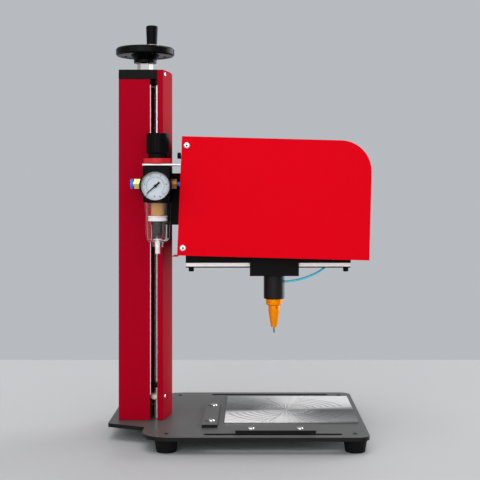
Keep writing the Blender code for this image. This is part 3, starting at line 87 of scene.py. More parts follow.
# Shared modelling sizes: the two usual edge roundings, angles, and the faces of roundings and turned pieces
WELD = 0.000002
HAIR = 0.00005
EDGE = 0.0003
FINE_EDGE = 0.0002
SMOOTH_ANGLE = math.radians(50)
BEVEL_ANGLE = math.radians(28)
FLAT_ANGLE = math.radians(0.4)
BEVEL_FACES = 2
FINE_STEPS = 96
SMALL_STEPS = 48
SCREW_STEPS = 24
FLAT_WEIGHT = 100
SIDES = (("near", -1), ("far", 1))

# A ring's rounded corner: how far its middle point lies in, as a share of the rounding
CORNER_SHARE = 0.29
# A side face's normal has at most this much Z
SIDE_FACING = 0.2
# A socket head's shares: flat rim and curve of the radius, wall of the socket's radius, socket's depth of the height
HEAD_RIM = 0.72
HEAD_CURVE = 0.93
SOCKET_WALL = 1.2
SOCKET_DEPTH = 0.7
HALF_FLAT = math.radians(30)

# Shared shader values: the span of a noise's usual values, and the least Z of a normal that looks up
NOISE_SPAN = (0.3, 0.7)
UP_FACING = 0.8

Point = tuple[float, float, float]
Point2 = tuple[float, float]
Profile = Sequence[Point2]
Colour = tuple[float, float, float]
Sockets = Iterable[tuple[str, str]]
BMesh = bmesh.types.BMesh
Node = bpy.types.Node
Socket = bpy.types.NodeSocket
Tree = bpy.types.NodeTree


class Facing(Enum):
    """The way a turned piece's own axis points: its turn from straight up, in quarters, and the axis of the turn."""

    UP = (0, "X")
    DOWN = (2, "X")
    NEAR = (1, "X")
    FAR = (-1, "X")
    FRONT = (1, "Y")
    REAR = (-1, "Y")

    def turn(self) -> Matrix:
        """Return the rotation from straight up to this direction."""
        quarters, axis = self.value
        return Matrix.Rotation(quarters * math.pi / 2, 4, axis)


class Grain(Enum):
    """The way the grain of a brushed metal runs."""

    ALONG_X = (0.03, 1.0, 1.0)
    ALONG_Y = (1.0, 0.03, 1.0)
    ALONG_Z = (1.0, 1.0, 0.03)
    EVEN = (1.0, 1.0, 1.0)


class Surface(Enum):
    """The shared kinds of surface: its two noises' details, their shares in the roughness, and the relief's noise."""

    MOTTLED = ((4.0, 2.0), (0.5, 0.5), 1)
    BRUSHED = ((5.0, 3.0), (0.6, 0.4), 0)


@dataclass
class NodeBench:
    """Adds and joins the nodes of one node tree."""

    tree: Tree
    column: int = 0
    pitch: int = 180

    def add(self, kind: str, **settings: object) -> Node:
        """Add a node.

        Args:
            kind: The node's Blender type.
            settings: Attributes to set on the node.

        Returns:
            The new node.
        """
        node = self.tree.nodes.new(kind)
        node.location = (self.column * self.pitch, 0)
        self.column += 1
        for name, value in settings.items():
            setattr(node, name, value)
        return node

    def join(self, source: Socket, target: Socket) -> None:
        """Link an output socket to an input socket."""
        self.tree.links.new(source, target)

    def feed(self, value: object, target: Socket) -> None:
        """Give a node's input what it takes.

        Args:
            value: A socket to link to it, or the value to set there.
            target: The input.
        """
        if isinstance(value, Socket):
            self.join(value, target)
        else:
            target.default_value = value

    def fill(self, node: Node, *values: object) -> Node:
        """Feed values to a node's inputs in their order.

        Args:
            node: The node.
            values: Sockets or plain values.

        Returns:
            The node.
        """
        for value, target in zip(values, node.inputs):
            self.feed(value, target)
        return node

    def maths(self, operation: str, *values: object) -> Socket:
        """Return the outcome of a Math node on sockets or numbers."""
        return self.fill(self.add("ShaderNodeMath", operation=operation), *values).outputs[0]

    def noise(self, where: Socket, scale: object, detail: float) -> Socket:
        """Add a noise texture.

        Args:
            where: The coordinates that it reads.
            scale: Its scale, a socket or a number.
            detail: Its detail.

        Returns:
            The noise value's socket.
        """
        node = self.add("ShaderNodeTexNoise")
        self.join(where, node.inputs["Vector"])
        self.feed(scale, node.inputs["Scale"])
        node.inputs["Detail"].default_value = detail
        return node.outputs["Fac"]

    def spread(self, value: Socket, low: object, high: object) -> Socket:
        """Return a noise value stretched from its usual span to the one between low and high."""
        return self.fill(self.add("ShaderNodeMapRange"), value, *NOISE_SPAN, low, high).outputs["Result"]

    def swing(self, value: Socket, middle: object, reach: Socket) -> Socket:
        """Return a noise value stretched to the reach below and above a middle."""
        return self.spread(value, self.maths("SUBTRACT", middle, reach), self.maths("ADD", middle, reach))

    def shade(self, colour: object, factor: Socket) -> Socket:
        """Multiply a colour by a value.

        Args:
            colour: The colour, a socket or three numbers.
            factor: The value.

        Returns:
            The shaded colour's socket.
        """
        node = self.fill(self.add("ShaderNodeVectorMath", operation="SCALE"), colour)
        self.join(factor, node.inputs["Scale"])
        return node.outputs["Vector"]

    def blend(self, factor: Socket, first: Colour, second: Colour) -> Socket:
        """Mix two colours.

        Args:
            factor: The share of the second colour.
            first: The first colour.
            second: The second colour.

        Returns:
            The mixed colour's socket.
        """
        node = self.fill(self.add("ShaderNodeMix", data_type="RGBA"), factor)
        node.inputs[6].default_value = (*first, 1.0)
        node.inputs[7].default_value = (*second, 1.0)
        return node.outputs[2]

    def parts(self, vector: Socket) -> bpy.types.NodeOutputs:
        """Return the X, Y and Z of a vector."""
        return self.fill(self.add("ShaderNodeSeparateXYZ"), vector).outputs

    def upward(self, normal: Socket) -> Socket:
        """Return a mask that is 1 on faces that look up."""
        return self.maths("GREATER_THAN", self.parts(normal)["Z"], UP_FACING)

    def between(self, value: Socket, span: Point2) -> Socket:
        """Return a mask that is 1 where the value lies in the span."""
        above = self.maths("GREATER_THAN", value, span[0])
        return self.maths("MULTIPLY", above, self.maths("LESS_THAN", value, span[1]))


def group_shell(name: str, inputs: Sockets, outputs: Sockets) -> tuple[NodeBench, Node, Node]:
    """Start a shader node group.

    Args:
        name: The group's name.
        inputs: The name and kind of each input.
        outputs: The name and kind of each output.

    Returns:
        Its bench, its input node and its output node.
    """
    tree = bpy.data.node_groups.new(name, "ShaderNodeTree")
    for way, sockets in (("INPUT", inputs), ("OUTPUT", outputs)):
        for socket, kind in sockets:
            tree.interface.new_socket(socket, in_out=way, socket_type=f"NodeSocket{kind}")
    bench = NodeBench(tree)
    return bench, bench.add("NodeGroupInput"), bench.add("NodeGroupOutput")


@cache
def surface_group(surface: Surface) -> Tree:
    """Build once a group of two noises: the first varies the colour, both the roughness, and one gives the relief.

    Args:
        surface: The kind of surface.

    Returns:
        The node group.
    """
    details, shares, relief = surface.value
    scales = ("First Scale", "Second Scale")
    floats = ("Variation", "Roughness", "Roughness Spread", *scales)
    inputs = (("Coordinates", "Vector"), ("Colour", "Color"), *((name, "Float") for name in floats))
    outputs = (("Colour", "Color"), ("Roughness", "Float"), ("Height", "Float"))
    bench, given, made = group_shell(surface.name.lower(), inputs, outputs)
    values = given.outputs
    noises = [bench.noise(values["Coordinates"], values[scale], detail) for scale, detail in zip(scales, details)]
    mixed = bench.maths("ADD", *(bench.maths("MULTIPLY", noise, share) for noise, share in zip(noises, shares)))
    tone = bench.swing(noises[0], 1.0, values["Variation"])
    rough = bench.swing(mixed, values["Roughness"], values["Roughness Spread"])
    bench.fill(made, bench.shade(values["Colour"], tone), rough, noises[relief])
    return bench.tree


@cache
def bands_group() -> Tree:
    """Build once the group that turns a distance into thin repeated lines.

    Returns:
        The node group, whose output Mask is 1 on a line and 0 beside it.
    """
    inputs = (("Distance", "Float"), ("Spacing", "Float"), ("Width", "Float"), ("Sharpness", "Float"))
    bench, given, made = group_shell("bands", inputs, (("Mask", "Float"),))
    distance, spacing, width, sharpness = given.outputs[:4]
    share = bench.maths("FRACT", bench.maths("DIVIDE", distance, spacing))
    centred = bench.maths("ABSOLUTE", bench.maths("SUBTRACT", share, 0.5))
    away = bench.maths("MULTIPLY", centred, spacing)
    half = bench.maths("MULTIPLY", width, 0.5)
    edge = bench.maths("DIVIDE", bench.maths("SUBTRACT", half, away), half)
    clamp = bench.fill(bench.add("ShaderNodeClamp"), bench.maths("MULTIPLY", edge, sharpness))
    bench.fill(made, clamp.outputs["Result"])
    return bench.tree


@dataclass(frozen=True)
class Finish:
    """A finish of the machine: its material's name and the record's slot that it belongs to."""

    name: str
    slot: str

    def material(self) -> bpy.types.Material:
        """Make the finish's material, or find it where it is already made.

        Returns:
            The material.
        """
        known = bpy.data.materials.get(self.name)
        if known:
            return known
        material = bpy.data.materials.new(self.name)
        material.use_nodes = True
        self.paint(NodeBench(material.node_tree), material.node_tree.nodes["Principled BSDF"])
        return material

    def paint(self, bench: NodeBench, shader: Node) -> None:
        """Fill in the material's nodes; each kind of finish does this its own way."""
        raise NotImplementedError

    def lift(self, bench: NodeBench, shader: Node, height: Socket, depth: float) -> None:
        """Drive the shader's normal by a height.

        Args:
            bench: The material's bench.
            shader: Its Principled BSDF.
            height: The height's socket.
            depth: How deep the relief is, in metres.
        """
        bump = bench.add("ShaderNodeBump")
        bump.inputs["Strength"].default_value = 1.0
        bump.inputs["Distance"].default_value = depth
        bench.join(height, bump.inputs["Height"])
        bench.join(bump.outputs["Normal"], shader.inputs["Normal"])

    def drive(
        self, bench: NodeBench, shader: Node, surface: Surface, where: Socket, values: Sequence[object], depth: float
    ) -> None:
        """Drive colour, roughness and relief by a surface group.

        Args:
            bench: The material's bench.
            shader: Its Principled BSDF.
            surface: The kind of surface.
            where: The coordinates that it reads.
            values: The group's other inputs in their order, from the colour on.
            depth: How deep the relief is, in metres.
        """
        group = bench.fill(bench.add("ShaderNodeGroup", node_tree=surface_group(surface)), where, *values)
        bench.join(group.outputs["Colour"], shader.inputs["Base Color"])
        bench.join(group.outputs["Roughness"], shader.inputs["Roughness"])
        self.lift(bench, shader, group.outputs["Height"], depth)


@dataclass(frozen=True)
class CoatFinish(Finish):
    """Paint, powder coat, moulded plastic or rubber."""

    colour: Colour
    roughness: float
    variation: float
    spread: float
    slow_scale: float
    fine_scale: float
    peel: float
    specular: float
    # A lighter colour for the faces that look up, as painted sheen, or none
    top_colour: Colour | None = None

    def paint(self, bench: NodeBench, shader: Node) -> None:
        """Mottle the coat; where it has a lit top colour, paint that lighter colour on the faces that look up, as
        painted sheen.

        Args:
            bench: The material's bench.
            shader: Its Principled BSDF.
        """
        coordinates = bench.add("ShaderNodeTexCoord").outputs
        colour = (*self.colour, 1.0)
        if self.top_colour:
            colour = bench.blend(bench.upward(coordinates["Normal"]), self.colour, self.top_colour)
        values = (colour, self.variation, self.roughness, self.spread, self.slow_scale, self.fine_scale)
        self.drive(bench, shader, Surface.MOTTLED, coordinates["Object"], values, self.peel)
        shader.inputs["Specular IOR Level"].default_value = self.specular


@dataclass(frozen=True)
class MetalFinish(Finish):
    """Bare or plated metal with grain."""

    colour: Colour
    roughness: float
    contrast: float
    spread: float
    grain: Grain
    grain_scale: float
    metallic: float = 1.0
    specular: float = 0.5
    haze_scale: float = 60.0
    depth: float = 0.000004

    def paint(self, bench: NodeBench, shader: Node) -> None:
        """Brush the metal along its grain.

        Args:
            bench: The material's bench.
            shader: Its Principled BSDF.
        """
        mapping = bench.add("ShaderNodeMapping")
        mapping.inputs["Scale"].default_value = self.grain.value
        bench.join(bench.add("ShaderNodeTexCoord").outputs["Object"], mapping.inputs["Vector"])
        colour = (*self.colour, 1.0)
        values = (colour, self.contrast, self.roughness, self.spread, self.grain_scale, self.haze_scale)
        self.drive(bench, shader, Surface.BRUSHED, mapping.outputs["Vector"], values, self.depth)
        shader.inputs["Metallic"].default_value = self.metallic
        shader.inputs["Specular IOR Level"].default_value = self.specular


@dataclass(frozen=True)
class SpunFinish(Finish):
    """The work plate's bright finish: fans of painted reflection, fine radial streaks, spokes, ring arcs and rays."""

    colour: Colour
    centre: Point2
    # Painted reflection: the brightness of each fan against its share of a half turn, standing in for the spun metal's
    # highlight
    fan_stops: tuple[Point2, ...] = (
        (0.0, 0.06), (0.035, 0.3), (0.085, 0.75), (0.17, 1.0), (0.45, 1.0), (0.56, 0.7), (0.7, 0.28), (0.86, 0.11),
        (0.97, 0.03), (1.0, 0.06),
    )
    ring_span: Point2 = (0.030, 0.0865)
    ring_spacing: float = 0.0096
    ring_width: float = 0.0020
    ring_slopes: Point2 = (0.28, 0.97)
    spoke_reach: float = 0.05
    spoke_count: int = 30
    spoke_share: float = 0.3
    spoke_fade: float = 2.5
    ray_span: Point2 = (0.006, 0.09)
    ray_count: int = 5
    ray_width: float = 0.022
    ray_shade: float = 0.5
    line_sharpness: float = 3.0
    mark_shade: float = 0.78
    hub_shade: float = 0.75
    streak_scale: float = 16.0
    streak_detail: float = 6.0
    streak_tones: Point2 = (0.9, 1.06)
    roughness: Point2 = (0.24, 0.4)
    metallic: float = 0.35
    specular: float = 0.2
    depth: float = 0.000003

    def paint(self, bench: NodeBench, shader: Node) -> None:
        """Work out the radius and the angle round the plate's centre, and draw on them.

        Args:
            bench: The material's bench.
            shader: Its Principled BSDF.
        """
        coordinates = bench.add("ShaderNodeTexCoord").outputs
        mapping = bench.add("ShaderNodeMapping")
        mapping.inputs["Location"].default_value = (-self.centre[0], -self.centre[1], 0.0)
        bench.join(coordinates["Object"], mapping.inputs["Vector"])
        place = bench.parts(mapping.outputs["Vector"])
        x, y = place["X"], place["Y"]
        square = bench.maths("ADD", bench.maths("MULTIPLY", x, x), bench.maths("MULTIPLY", y, y))
        radius = bench.maths("SQRT", square)
        angle = bench.maths("ARCTAN2", y, x)
        turn = (bench.maths("COSINE", angle), bench.maths("SINE", angle))
        circle = bench.fill(bench.add("ShaderNodeCombineXYZ"), *turn)
        streaks = bench.noise(circle.outputs["Vector"], self.streak_scale, self.streak_detail)
        # The fans are painted reflection, streaked along the grain
        bright = bench.maths("MULTIPLY", self.fans(bench, angle), bench.spread(streaks, *self.streak_tones))
        near = bench.maths("SUBTRACT", 1.0, bench.maths("DIVIDE", radius, self.spoke_reach))
        near = bench.maths("MAXIMUM", near, 0.0)
        bright = self.darker(bench, bright, near, self.hub_shade)
        bright = bench.maths("MAXIMUM", bright, self.spokes(bench, near, angle))
        marks = bench.maths("MAXIMUM", self.rings(bench, radius, y), self.rays(bench, radius, angle))
        dark = bench.maths("MULTIPLY", bench.upward(coordinates["Normal"]), marks)
        bright = self.darker(bench, bright, dark, self.mark_shade)
        bench.join(bench.shade(self.colour, bright), shader.inputs["Base Color"])
        bench.join(bench.spread(streaks, *self.roughness), shader.inputs["Roughness"])
        shader.inputs["Metallic"].default_value = self.metallic
        shader.inputs["Specular IOR Level"].default_value = self.specular
        self.lift(bench, shader, bench.maths("SUBTRACT", streaks, dark), self.depth)

    def darker(self, bench: NodeBench, bright: Socket, mask: Socket, share: float) -> Socket:
        """Return a brightness that is less by a share of itself where the mask is 1."""
        return bench.maths("MULTIPLY", bright, bench.maths("SUBTRACT", 1.0, bench.maths("MULTIPLY", mask, share)))

    def fans(self, bench: NodeBench, angle: Socket) -> Socket:
        """Draw the brightness of the painted reflection fans, which repeat every half turn.

        Args:
            bench: The material's bench.
            angle: The angle round the centre.

        Returns:
            The brightness's socket.
        """
        share = bench.maths("FRACT", bench.maths("ADD", bench.maths("DIVIDE", angle, math.pi), 1.0))
        ramp = bench.add("ShaderNodeValToRGB")
        stops = ramp.color_ramp.elements
        while len(stops) < len(self.fan_stops):
            stops.new(0.5)
        for stop, (place, value) in zip(stops, self.fan_stops):
            stop.position = place
            stop.color = (value, value, value, 1.0)
        return bench.fill(ramp, share).outputs["Color"]

    def bands(self, bench: NodeBench, distance: Socket, spacing: float, width: float) -> Socket:
        """Return the mask of lines that repeat along a distance."""
        group = bench.add("ShaderNodeGroup", node_tree=bands_group())
        return bench.fill(group, distance, spacing, width, self.line_sharpness).outputs["Mask"]

    def rings(self, bench: NodeBench, radius: Socket, y: Socket) -> Socket:
        """Draw the broken ring arcs, which lie left and right of the centre.

        Args:
            bench: The material's bench.
            radius: The distance from the centre.
            y: The place across the plate.

        Returns:
            The mask's socket.
        """
        lines = self.bands(bench, radius, self.ring_spacing, self.ring_width)
        slope = bench.maths("ABSOLUTE", bench.maths("DIVIDE", y, radius))
        sides = bench.between(slope, self.ring_slopes)
        return bench.maths("MULTIPLY", lines, bench.maths("MULTIPLY", sides, bench.between(radius, self.ring_span)))

    def spokes(self, bench: NodeBench, near: Socket, angle: Socket) -> Socket:
        """Draw the short bright spokes, which fade away from the centre.

        Args:
            bench: The material's bench.
            near: How near the centre is, from 1 there to 0 at the spokes' ends.
            angle: The angle round the centre.

        Returns:
            The mask's socket.
        """
        pitch = 2 * math.pi / self.spoke_count
        lines = self.bands(bench, angle, pitch, pitch * self.spoke_share)
        fade = bench.maths("MINIMUM", bench.maths("MULTIPLY", near, self.spoke_fade), 1.0)
        return bench.maths("MULTIPLY", lines, fade)

    def rays(self, bench: NodeBench, radius: Socket, angle: Socket) -> Socket:
        """Draw the few weak dark rays that reach the plate's edge.

        Args:
            bench: The material's bench.
            radius: The distance from the centre.
            angle: The angle round the centre.

        Returns:
            The mask's socket.
        """
        lines = self.bands(bench, angle, 2 * math.pi / self.ray_count, self.ray_width)
        seen = bench.maths("MULTIPLY", lines, bench.between(radius, self.ray_span))
        return bench.maths("MULTIPLY", seen, self.ray_shade)


@dataclass(frozen=True)
class ClearFinish(Finish):
    """Clear moulded plastic or glass."""

    colour: Colour
    roughness: float
    index: float
    haze: float
    haze_roughness: float
    ripple: float
    ripple_scale: float = 220.0
    ripple_detail: float = 2.0
    shadow_lightness: float = 0.92

    def paint(self, bench: NodeBench, shader: Node) -> None:
        """Set plain transmission with a light shadow, and faint mould lines in the relief.

        Args:
            bench: The material's bench.
            shader: Its Principled BSDF.
        """
        where = bench.add("ShaderNodeTexCoord").outputs["Object"]
        for name, value in (
            ("Base Color", (*self.colour, 1.0)), ("Roughness", self.roughness), ("IOR", self.index),
            ("Transmission Weight", 1.0), ("Sheen Weight", self.haze), ("Sheen Roughness", self.haze_roughness),
        ):
            shader.inputs[name].default_value = value
        lighter = bench.maths(
            "MULTIPLY", bench.add("ShaderNodeLightPath").outputs["Is Shadow Ray"], self.shadow_lightness
        )
        bench.join(bench.maths("SUBTRACT", 1.0, lighter), shader.inputs["Alpha"])
        self.lift(bench, shader, bench.noise(where, self.ripple_scale, self.ripple_detail), self.ripple)


@dataclass(frozen=True)
class SinterFinish(Finish):
    """The filter element's sintered bronze-coloured granules."""

    colour: Colour
    # The pores' darker colour is painted shade in the hollows between granules
    pore_colour: Colour
    granule: float = 0.0005
    pore_tones: Point2 = (0.0, 0.6)
    roughness: Point2 = (0.55, 0.8)
    depth: float = 0.0001

    def paint(self, bench: NodeBench, shader: Node) -> None:
        """Draw granules, with painted shade in the pores between them.

        Args:
            bench: The material's bench.
            shader: Its Principled BSDF.
        """
        cells = bench.add("ShaderNodeTexVoronoi", feature="F1")
        bench.join(bench.add("ShaderNodeTexCoord").outputs["Object"], cells.inputs["Vector"])
        cells.inputs["Scale"].default_value = 1.0 / self.granule
        distance = cells.outputs["Distance"]
        colour = bench.blend(bench.spread(distance, *self.pore_tones), self.colour, self.pore_colour)
        bench.join(colour, shader.inputs["Base Color"])
        bench.join(bench.spread(distance, *self.roughness), shader.inputs["Roughness"])
        self.lift(bench, shader, bench.maths("SUBTRACT", 1.0, distance), self.depth)


# Coats: name, slot, colour, roughness, variation, roughness spread, two noise scales, peel depth, specular level
HEAD_RED = CoatFinish(
    "head_red_coat", "red_paint", (0.745, 0.0001, 0.0085), 0.42, 0.02, 0.04, 9.0, 1500.0, 0.00001, 0.02
)
# The column's red is a darker copy of the head's red paint: painted shade for the lesser light that falls on the
# column's covers
SHADED_COLUMN_RED = CoatFinish(
    "shaded_column_red_coat", "red_paint", (0.385, 0.0006, 0.013), 0.46, 0.04, 0.04, 9.0, 1500.0, 0.00001, 0.015
)
# The base's lighter top colour is painted sheen: the black paint's tops look grey only from the light that falls on
# them
BASE_BLACK = CoatFinish(
    "base_black_coat", "black_paint", (0.0035, 0.0035, 0.003), 0.42, 0.05, 0.02, 20.0, 1800.0, 0.000003, 0.2,
    top_colour=(0.092, 0.092, 0.09),
)
SATIN_BLACK = CoatFinish(
    "satin_black_coat", "black_paint", (0.0035, 0.004, 0.0035), 0.42, 0.1, 0.06, 18.0, 1700.0, 0.00002, 0.07
)
# Dark paint for the painted shade in the clamp slots and screw sockets, and for small black parts
SLOT_BLACK = CoatFinish(
    "slot_black", "black_paint", (0.003, 0.003, 0.003), 0.7, 0.2, 0.08, 30.0, 1700.0, 0.00002, 0.1
)
FOOT_RUBBER = CoatFinish(
    "foot_rubber", "rubber", (0.005, 0.0048, 0.0046), 0.66, 0.2, 0.1, 40.0, 2400.0, 0.00003, 0.1
)
MOULDED_BLACK = CoatFinish(
    "moulded_black", "black_plastic", (0.0024, 0.0026, 0.0024), 0.42, 0.12, 0.05, 30.0, 2600.0, 0.00002, 0.06
)
WHEEL_BLACK = CoatFinish(
    "wheel_black", "black_plastic", (0.0028, 0.003, 0.0028), 0.26, 0.12, 0.04, 30.0, 2600.0, 0.000006, 0.06
)
PRINT_BLACK = CoatFinish(
    "print_black", "black_plastic", (0.006, 0.006, 0.007), 0.5, 0.1, 0.05, 60.0, 2500.0, 0.000002, 0.1
)
RING_RED = CoatFinish("ring_nut_red", "red_plastic", (0.62, 0.003, 0.01), 0.34, 0.06, 0.06, 40.0, 2200.0, 0.00001, 0.3)
COLLAR_BLUE = CoatFinish("release_blue", "blue_plastic", (0.0, 0.22, 1.0), 0.3, 0.06, 0.06, 60.0, 2500.0, 0.00001, 0.3)
HOSE_BLUE = CoatFinish("hose_blue", "blue_plastic", (0.09, 0.76, 1.0), 0.34, 0.03, 0.04, 60.0, 900.0, 0.000004, 0.5)
BUMPER_CREAM = CoatFinish(
    "bumper_cream", "cream_rubber", (0.76, 0.7, 0.55), 0.6, 0.08, 0.08, 60.0, 1800.0, 0.00004, 0.3
)
DIAL_WHITE = CoatFinish("dial_white", "white_plastic", (0.47, 0.51, 0.55), 0.4, 0.03, 0.04, 60.0, 2500.0, 0.000004, 0.2)
BAFFLE_WHITE = CoatFinish(
    "baffle_white", "white_plastic", (0.86, 0.82, 0.8), 0.4, 0.04, 0.06, 60.0, 1500.0, 0.00001, 0.4
)
SCALE_GREY = CoatFinish("scale_grey", "white_plastic", (0.14, 0.18, 0.24), 0.5, 0.1, 0.05, 60.0, 2500.0, 0.000002, 0.2)
CORE_DARK = CoatFinish(
    "core_dark", "white_plastic", (0.008, 0.006, 0.006), 0.16, 0.15, 0.05, 60.0, 1500.0, 0.000005, 0.5
)

# Metals: name, slot, colour, roughness, contrast, roughness spread, grain and its scale, metallic, specular level
POLISHED_ROD = MetalFinish("polished_rod", "chrome", (1.0, 0.98, 0.98), 0.16, 0.02, 0.03, Grain.ALONG_Z, 2600.0, 0.8)
BRIGHT_CHROME = MetalFinish("bright_chrome", "chrome", (0.97, 0.96, 0.93), 0.25, 0.03, 0.05, Grain.EVEN, 1500.0, 0.55)
SCREW_CHROME = MetalFinish("screw_chrome", "chrome", (0.88, 0.86, 0.85), 0.16, 0.03, 0.04, Grain.EVEN, 1500.0)
SCREW_NICKEL = MetalFinish("screw_nickel", "chrome", (0.82, 0.77, 0.77), 0.34, 0.03, 0.05, Grain.EVEN, 1500.0)
NUT_NICKEL = MetalFinish("nut_nickel", "chrome", (0.54, 0.54, 0.5), 0.34, 0.02, 0.05, Grain.EVEN, 1500.0, 0.25)
GROUND_STEEL = MetalFinish("ground_steel", "steel", (0.66, 0.65, 0.63), 0.3, 0.1, 0.08, Grain.ALONG_X, 2400.0)
PIN_STEEL = MetalFinish("pin_steel", "steel", (0.17, 0.19, 0.19), 0.34, 0.08, 0.08, Grain.ALONG_Z, 2600.0)
BRACKET_STEEL = MetalFinish("bracket_steel", "steel", (0.96, 0.96, 0.95), 0.34, 0.04, 0.06, Grain.ALONG_Y, 2000.0, 0.2)
DULL_SCREW = MetalFinish("dull_screw", "steel", (0.05, 0.05, 0.048), 0.44, 0.08, 0.08, Grain.ALONG_Z, 2200.0)
RAIL_STEEL = MetalFinish("rail_steel", "steel", (0.78, 0.71, 0.69), 0.34, 0.1, 0.08, Grain.ALONG_X, 2200.0, 0.7)
BARE_EDGE = MetalFinish("bare_edge", "steel", (0.72, 0.6, 0.6), 0.4, 0.05, 0.06, Grain.ALONG_Z, 2000.0, 0.4)
TURNED_BRASS = MetalFinish("turned_brass", "brass", (0.93, 0.7, 0.26), 0.24, 0.07, 0.06, Grain.ALONG_X, 1800.0, 0.8)
SHADED_BRASS = MetalFinish("shaded_brass", "brass", (0.36, 0.16, 0.05), 0.3, 0.3, 0.1, Grain.ALONG_X, 900.0, 0.9)
BEARING_BRONZE = MetalFinish("bearing_bronze", "brass", (0.62, 0.42, 0.2), 0.3, 0.08, 0.08, Grain.EVEN, 1800.0)
ORANGE_ANODISED = MetalFinish(
    "nose_orange", "orange_anodised", (1.0, 0.3, 0.0), 0.36, 0.04, 0.06, Grain.ALONG_Z, 1600.0, 0.4, 0.12
)
BLACK_ANODISED = MetalFinish(
    "satin_anodised", "black_anodised", (0.0045, 0.0036, 0.0036), 0.5, 0.14, 0.06, Grain.EVEN, 2000.0, 0.0, 0.08,
    depth=0.000006,
)
CYLINDER_BLACK = MetalFinish(
    "cylinder_black", "black_anodised", (0.005, 0.0045, 0.0045), 0.36, 0.14, 0.06, Grain.ALONG_Z, 2000.0, 0.0, 0.2,
    depth=0.000006,
)

AMBER_SINTER = SinterFinish("amber_sinter", "amber_filter", (0.72, 0.36, 0.1), (0.4, 0.17, 0.04))
# Clear plastics: name, slot, colour, roughness, index, haze and its roughness, ripple depth
CLEAR_BOWL = ClearFinish("clear_bowl", "clear_plastic", (0.99, 0.98, 0.98), 0.03, 1.33, 1.0, 0.16, 0.00003)
CLEAR_LENS = ClearFinish("clear_lens", "clear_plastic", (1.0, 1.0, 1.0), 0.0, 1.05, 0.0, 0.25, 0.0000005)
SPUN_PLATE = SpunFinish("spun_plate", "brushed_plate", (1.0, 1.0, 0.99), (0.0643, 0.010))


def body_of(node: str) -> str:
    """Return the body that a CAD node moves with."""
    return frame["nodes"][node]["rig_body"]


def move(bm: BMesh, matrix: Matrix) -> None:
    """Move a whole mesh by a matrix."""
    bmesh.ops.transform(bm, matrix=matrix, verts=bm.verts)


def weld(bm: BMesh, distance: float = WELD) -> None:
    """Join a mesh's corners that lie on one another."""
    bmesh.ops.remove_doubles(bm, verts=bm.verts, dist=distance)


def face_outwards(bm: BMesh) -> None:
    """Turn a mesh's faces outwards."""
    bmesh.ops.recalc_face_normals(bm, faces=bm.faces)


def soften(bm: BMesh, width: float) -> None:
    """Round a mesh's sharp edges.

    Args:
        bm: The mesh.
        width: The rounding's width.
    """
    sharp = [edge for edge in bm.edges if len(edge.link_faces) == 2 and edge.calc_face_angle() > BEVEL_ANGLE]
    bmesh.ops.bevel(
        bm, geom=sharp, offset=width, offset_type="OFFSET", segments=BEVEL_FACES, profile=0.5,
        affect="EDGES", material=-1, clamp_overlap=True,
    )


def spin_round(bm: BMesh, section: Sequence[object], angle: float, steps: int, merge: bool) -> None:
    """Spin a section round the upright through the origin.

    Args:
        bm: The mesh.
        section: The corners, edges or face to spin.
        angle: How far it turns.
        steps: How many faces that gives.
        merge: Whether its end joins its start, as after a full turn.
    """
    bmesh.ops.spin(
        bm, geom=section, cent=(0.0, 0.0, 0.0), axis=(0.0, 0.0, 1.0), dvec=(0.0, 0.0, 0.0),
        angle=angle, steps=steps, use_merge=merge, use_duplicate=False,
    )


def extruded(bm: BMesh, edges: Sequence[bmesh.types.BMEdge]) -> list[bmesh.types.BMVert]:
    """Extrude edges where they are, and return the new corners."""
    made = bmesh.ops.extrude_edge_only(bm, edges=edges)["geom"]
    return [item for item in made if isinstance(item, bmesh.types.BMVert)]


def place_turned(bm: BMesh, centre: Point, facing: Facing) -> None:
    """Turn a mesh built round its own upright axis, and move it to its centre."""
    move(bm, Matrix.Translation(centre) @ facing.turn())


def turned(
    profile: Profile, centre: Point = (0.0, 0.0, 0.0), facing: Facing = Facing.UP, steps: int = FINE_STEPS,
    edge: float = 0.0, closed: bool = False,
) -> BMesh:
    """Spin a profile of radius and height into a body.

    Args:
        profile: The radius and height of each corner.
        centre: Where its own origin lies.
        facing: Where its own axis points.
        steps: How many faces it has round.
        edge: The rounding of its sharp edges.
        closed: Whether the last corner joins the first, as in a ring.

    Returns:
        The mesh in its place.
    """
    bm = bmesh.new()
    corners = [bm.verts.new((radius, 0.0, height)) for radius, height in profile]
    edges = [bm.edges.new(pair) for pair in zip(corners, corners[1:])]
    if closed:
        edges.append(bm.edges.new((corners[-1], corners[0])))
    spin_round(bm, corners + edges, 2 * math.pi, steps, True)
    weld(bm)
    face_outwards(bm)
    if edge:
        soften(bm, edge)
    place_turned(bm, centre, facing)
    return bm


def disc(radius: float, low: float, high: float) -> Profile:
    """Return the profile of a plain round bar between two heights."""
    return ((0.0, low), (radius, low), (radius, high), (0.0, high))


def ring(inner: float, outer: float, low: float, high: float, rounding: float = 0.0) -> Profile:
    """Draw the closed profile of a ring.

    Args:
        inner: Its inner radius.
        outer: Its outer radius.
        low: Its lower height.
        high: Its upper height.
        rounding: The rounding of its outer corners, or 0 for none.

    Returns:
        The radius and height of each corner.
    """
    if not rounding:
        return ((inner, low), (outer, low), (outer, high), (inner, high))
    near, far = rounding * CORNER_SHARE, rounding
    return (
        (inner, low), (outer - far, low), (outer - near, low + near), (outer, low + far),
        (outer, high - far), (outer - near, high - near), (outer - far, high), (inner, high),
    )


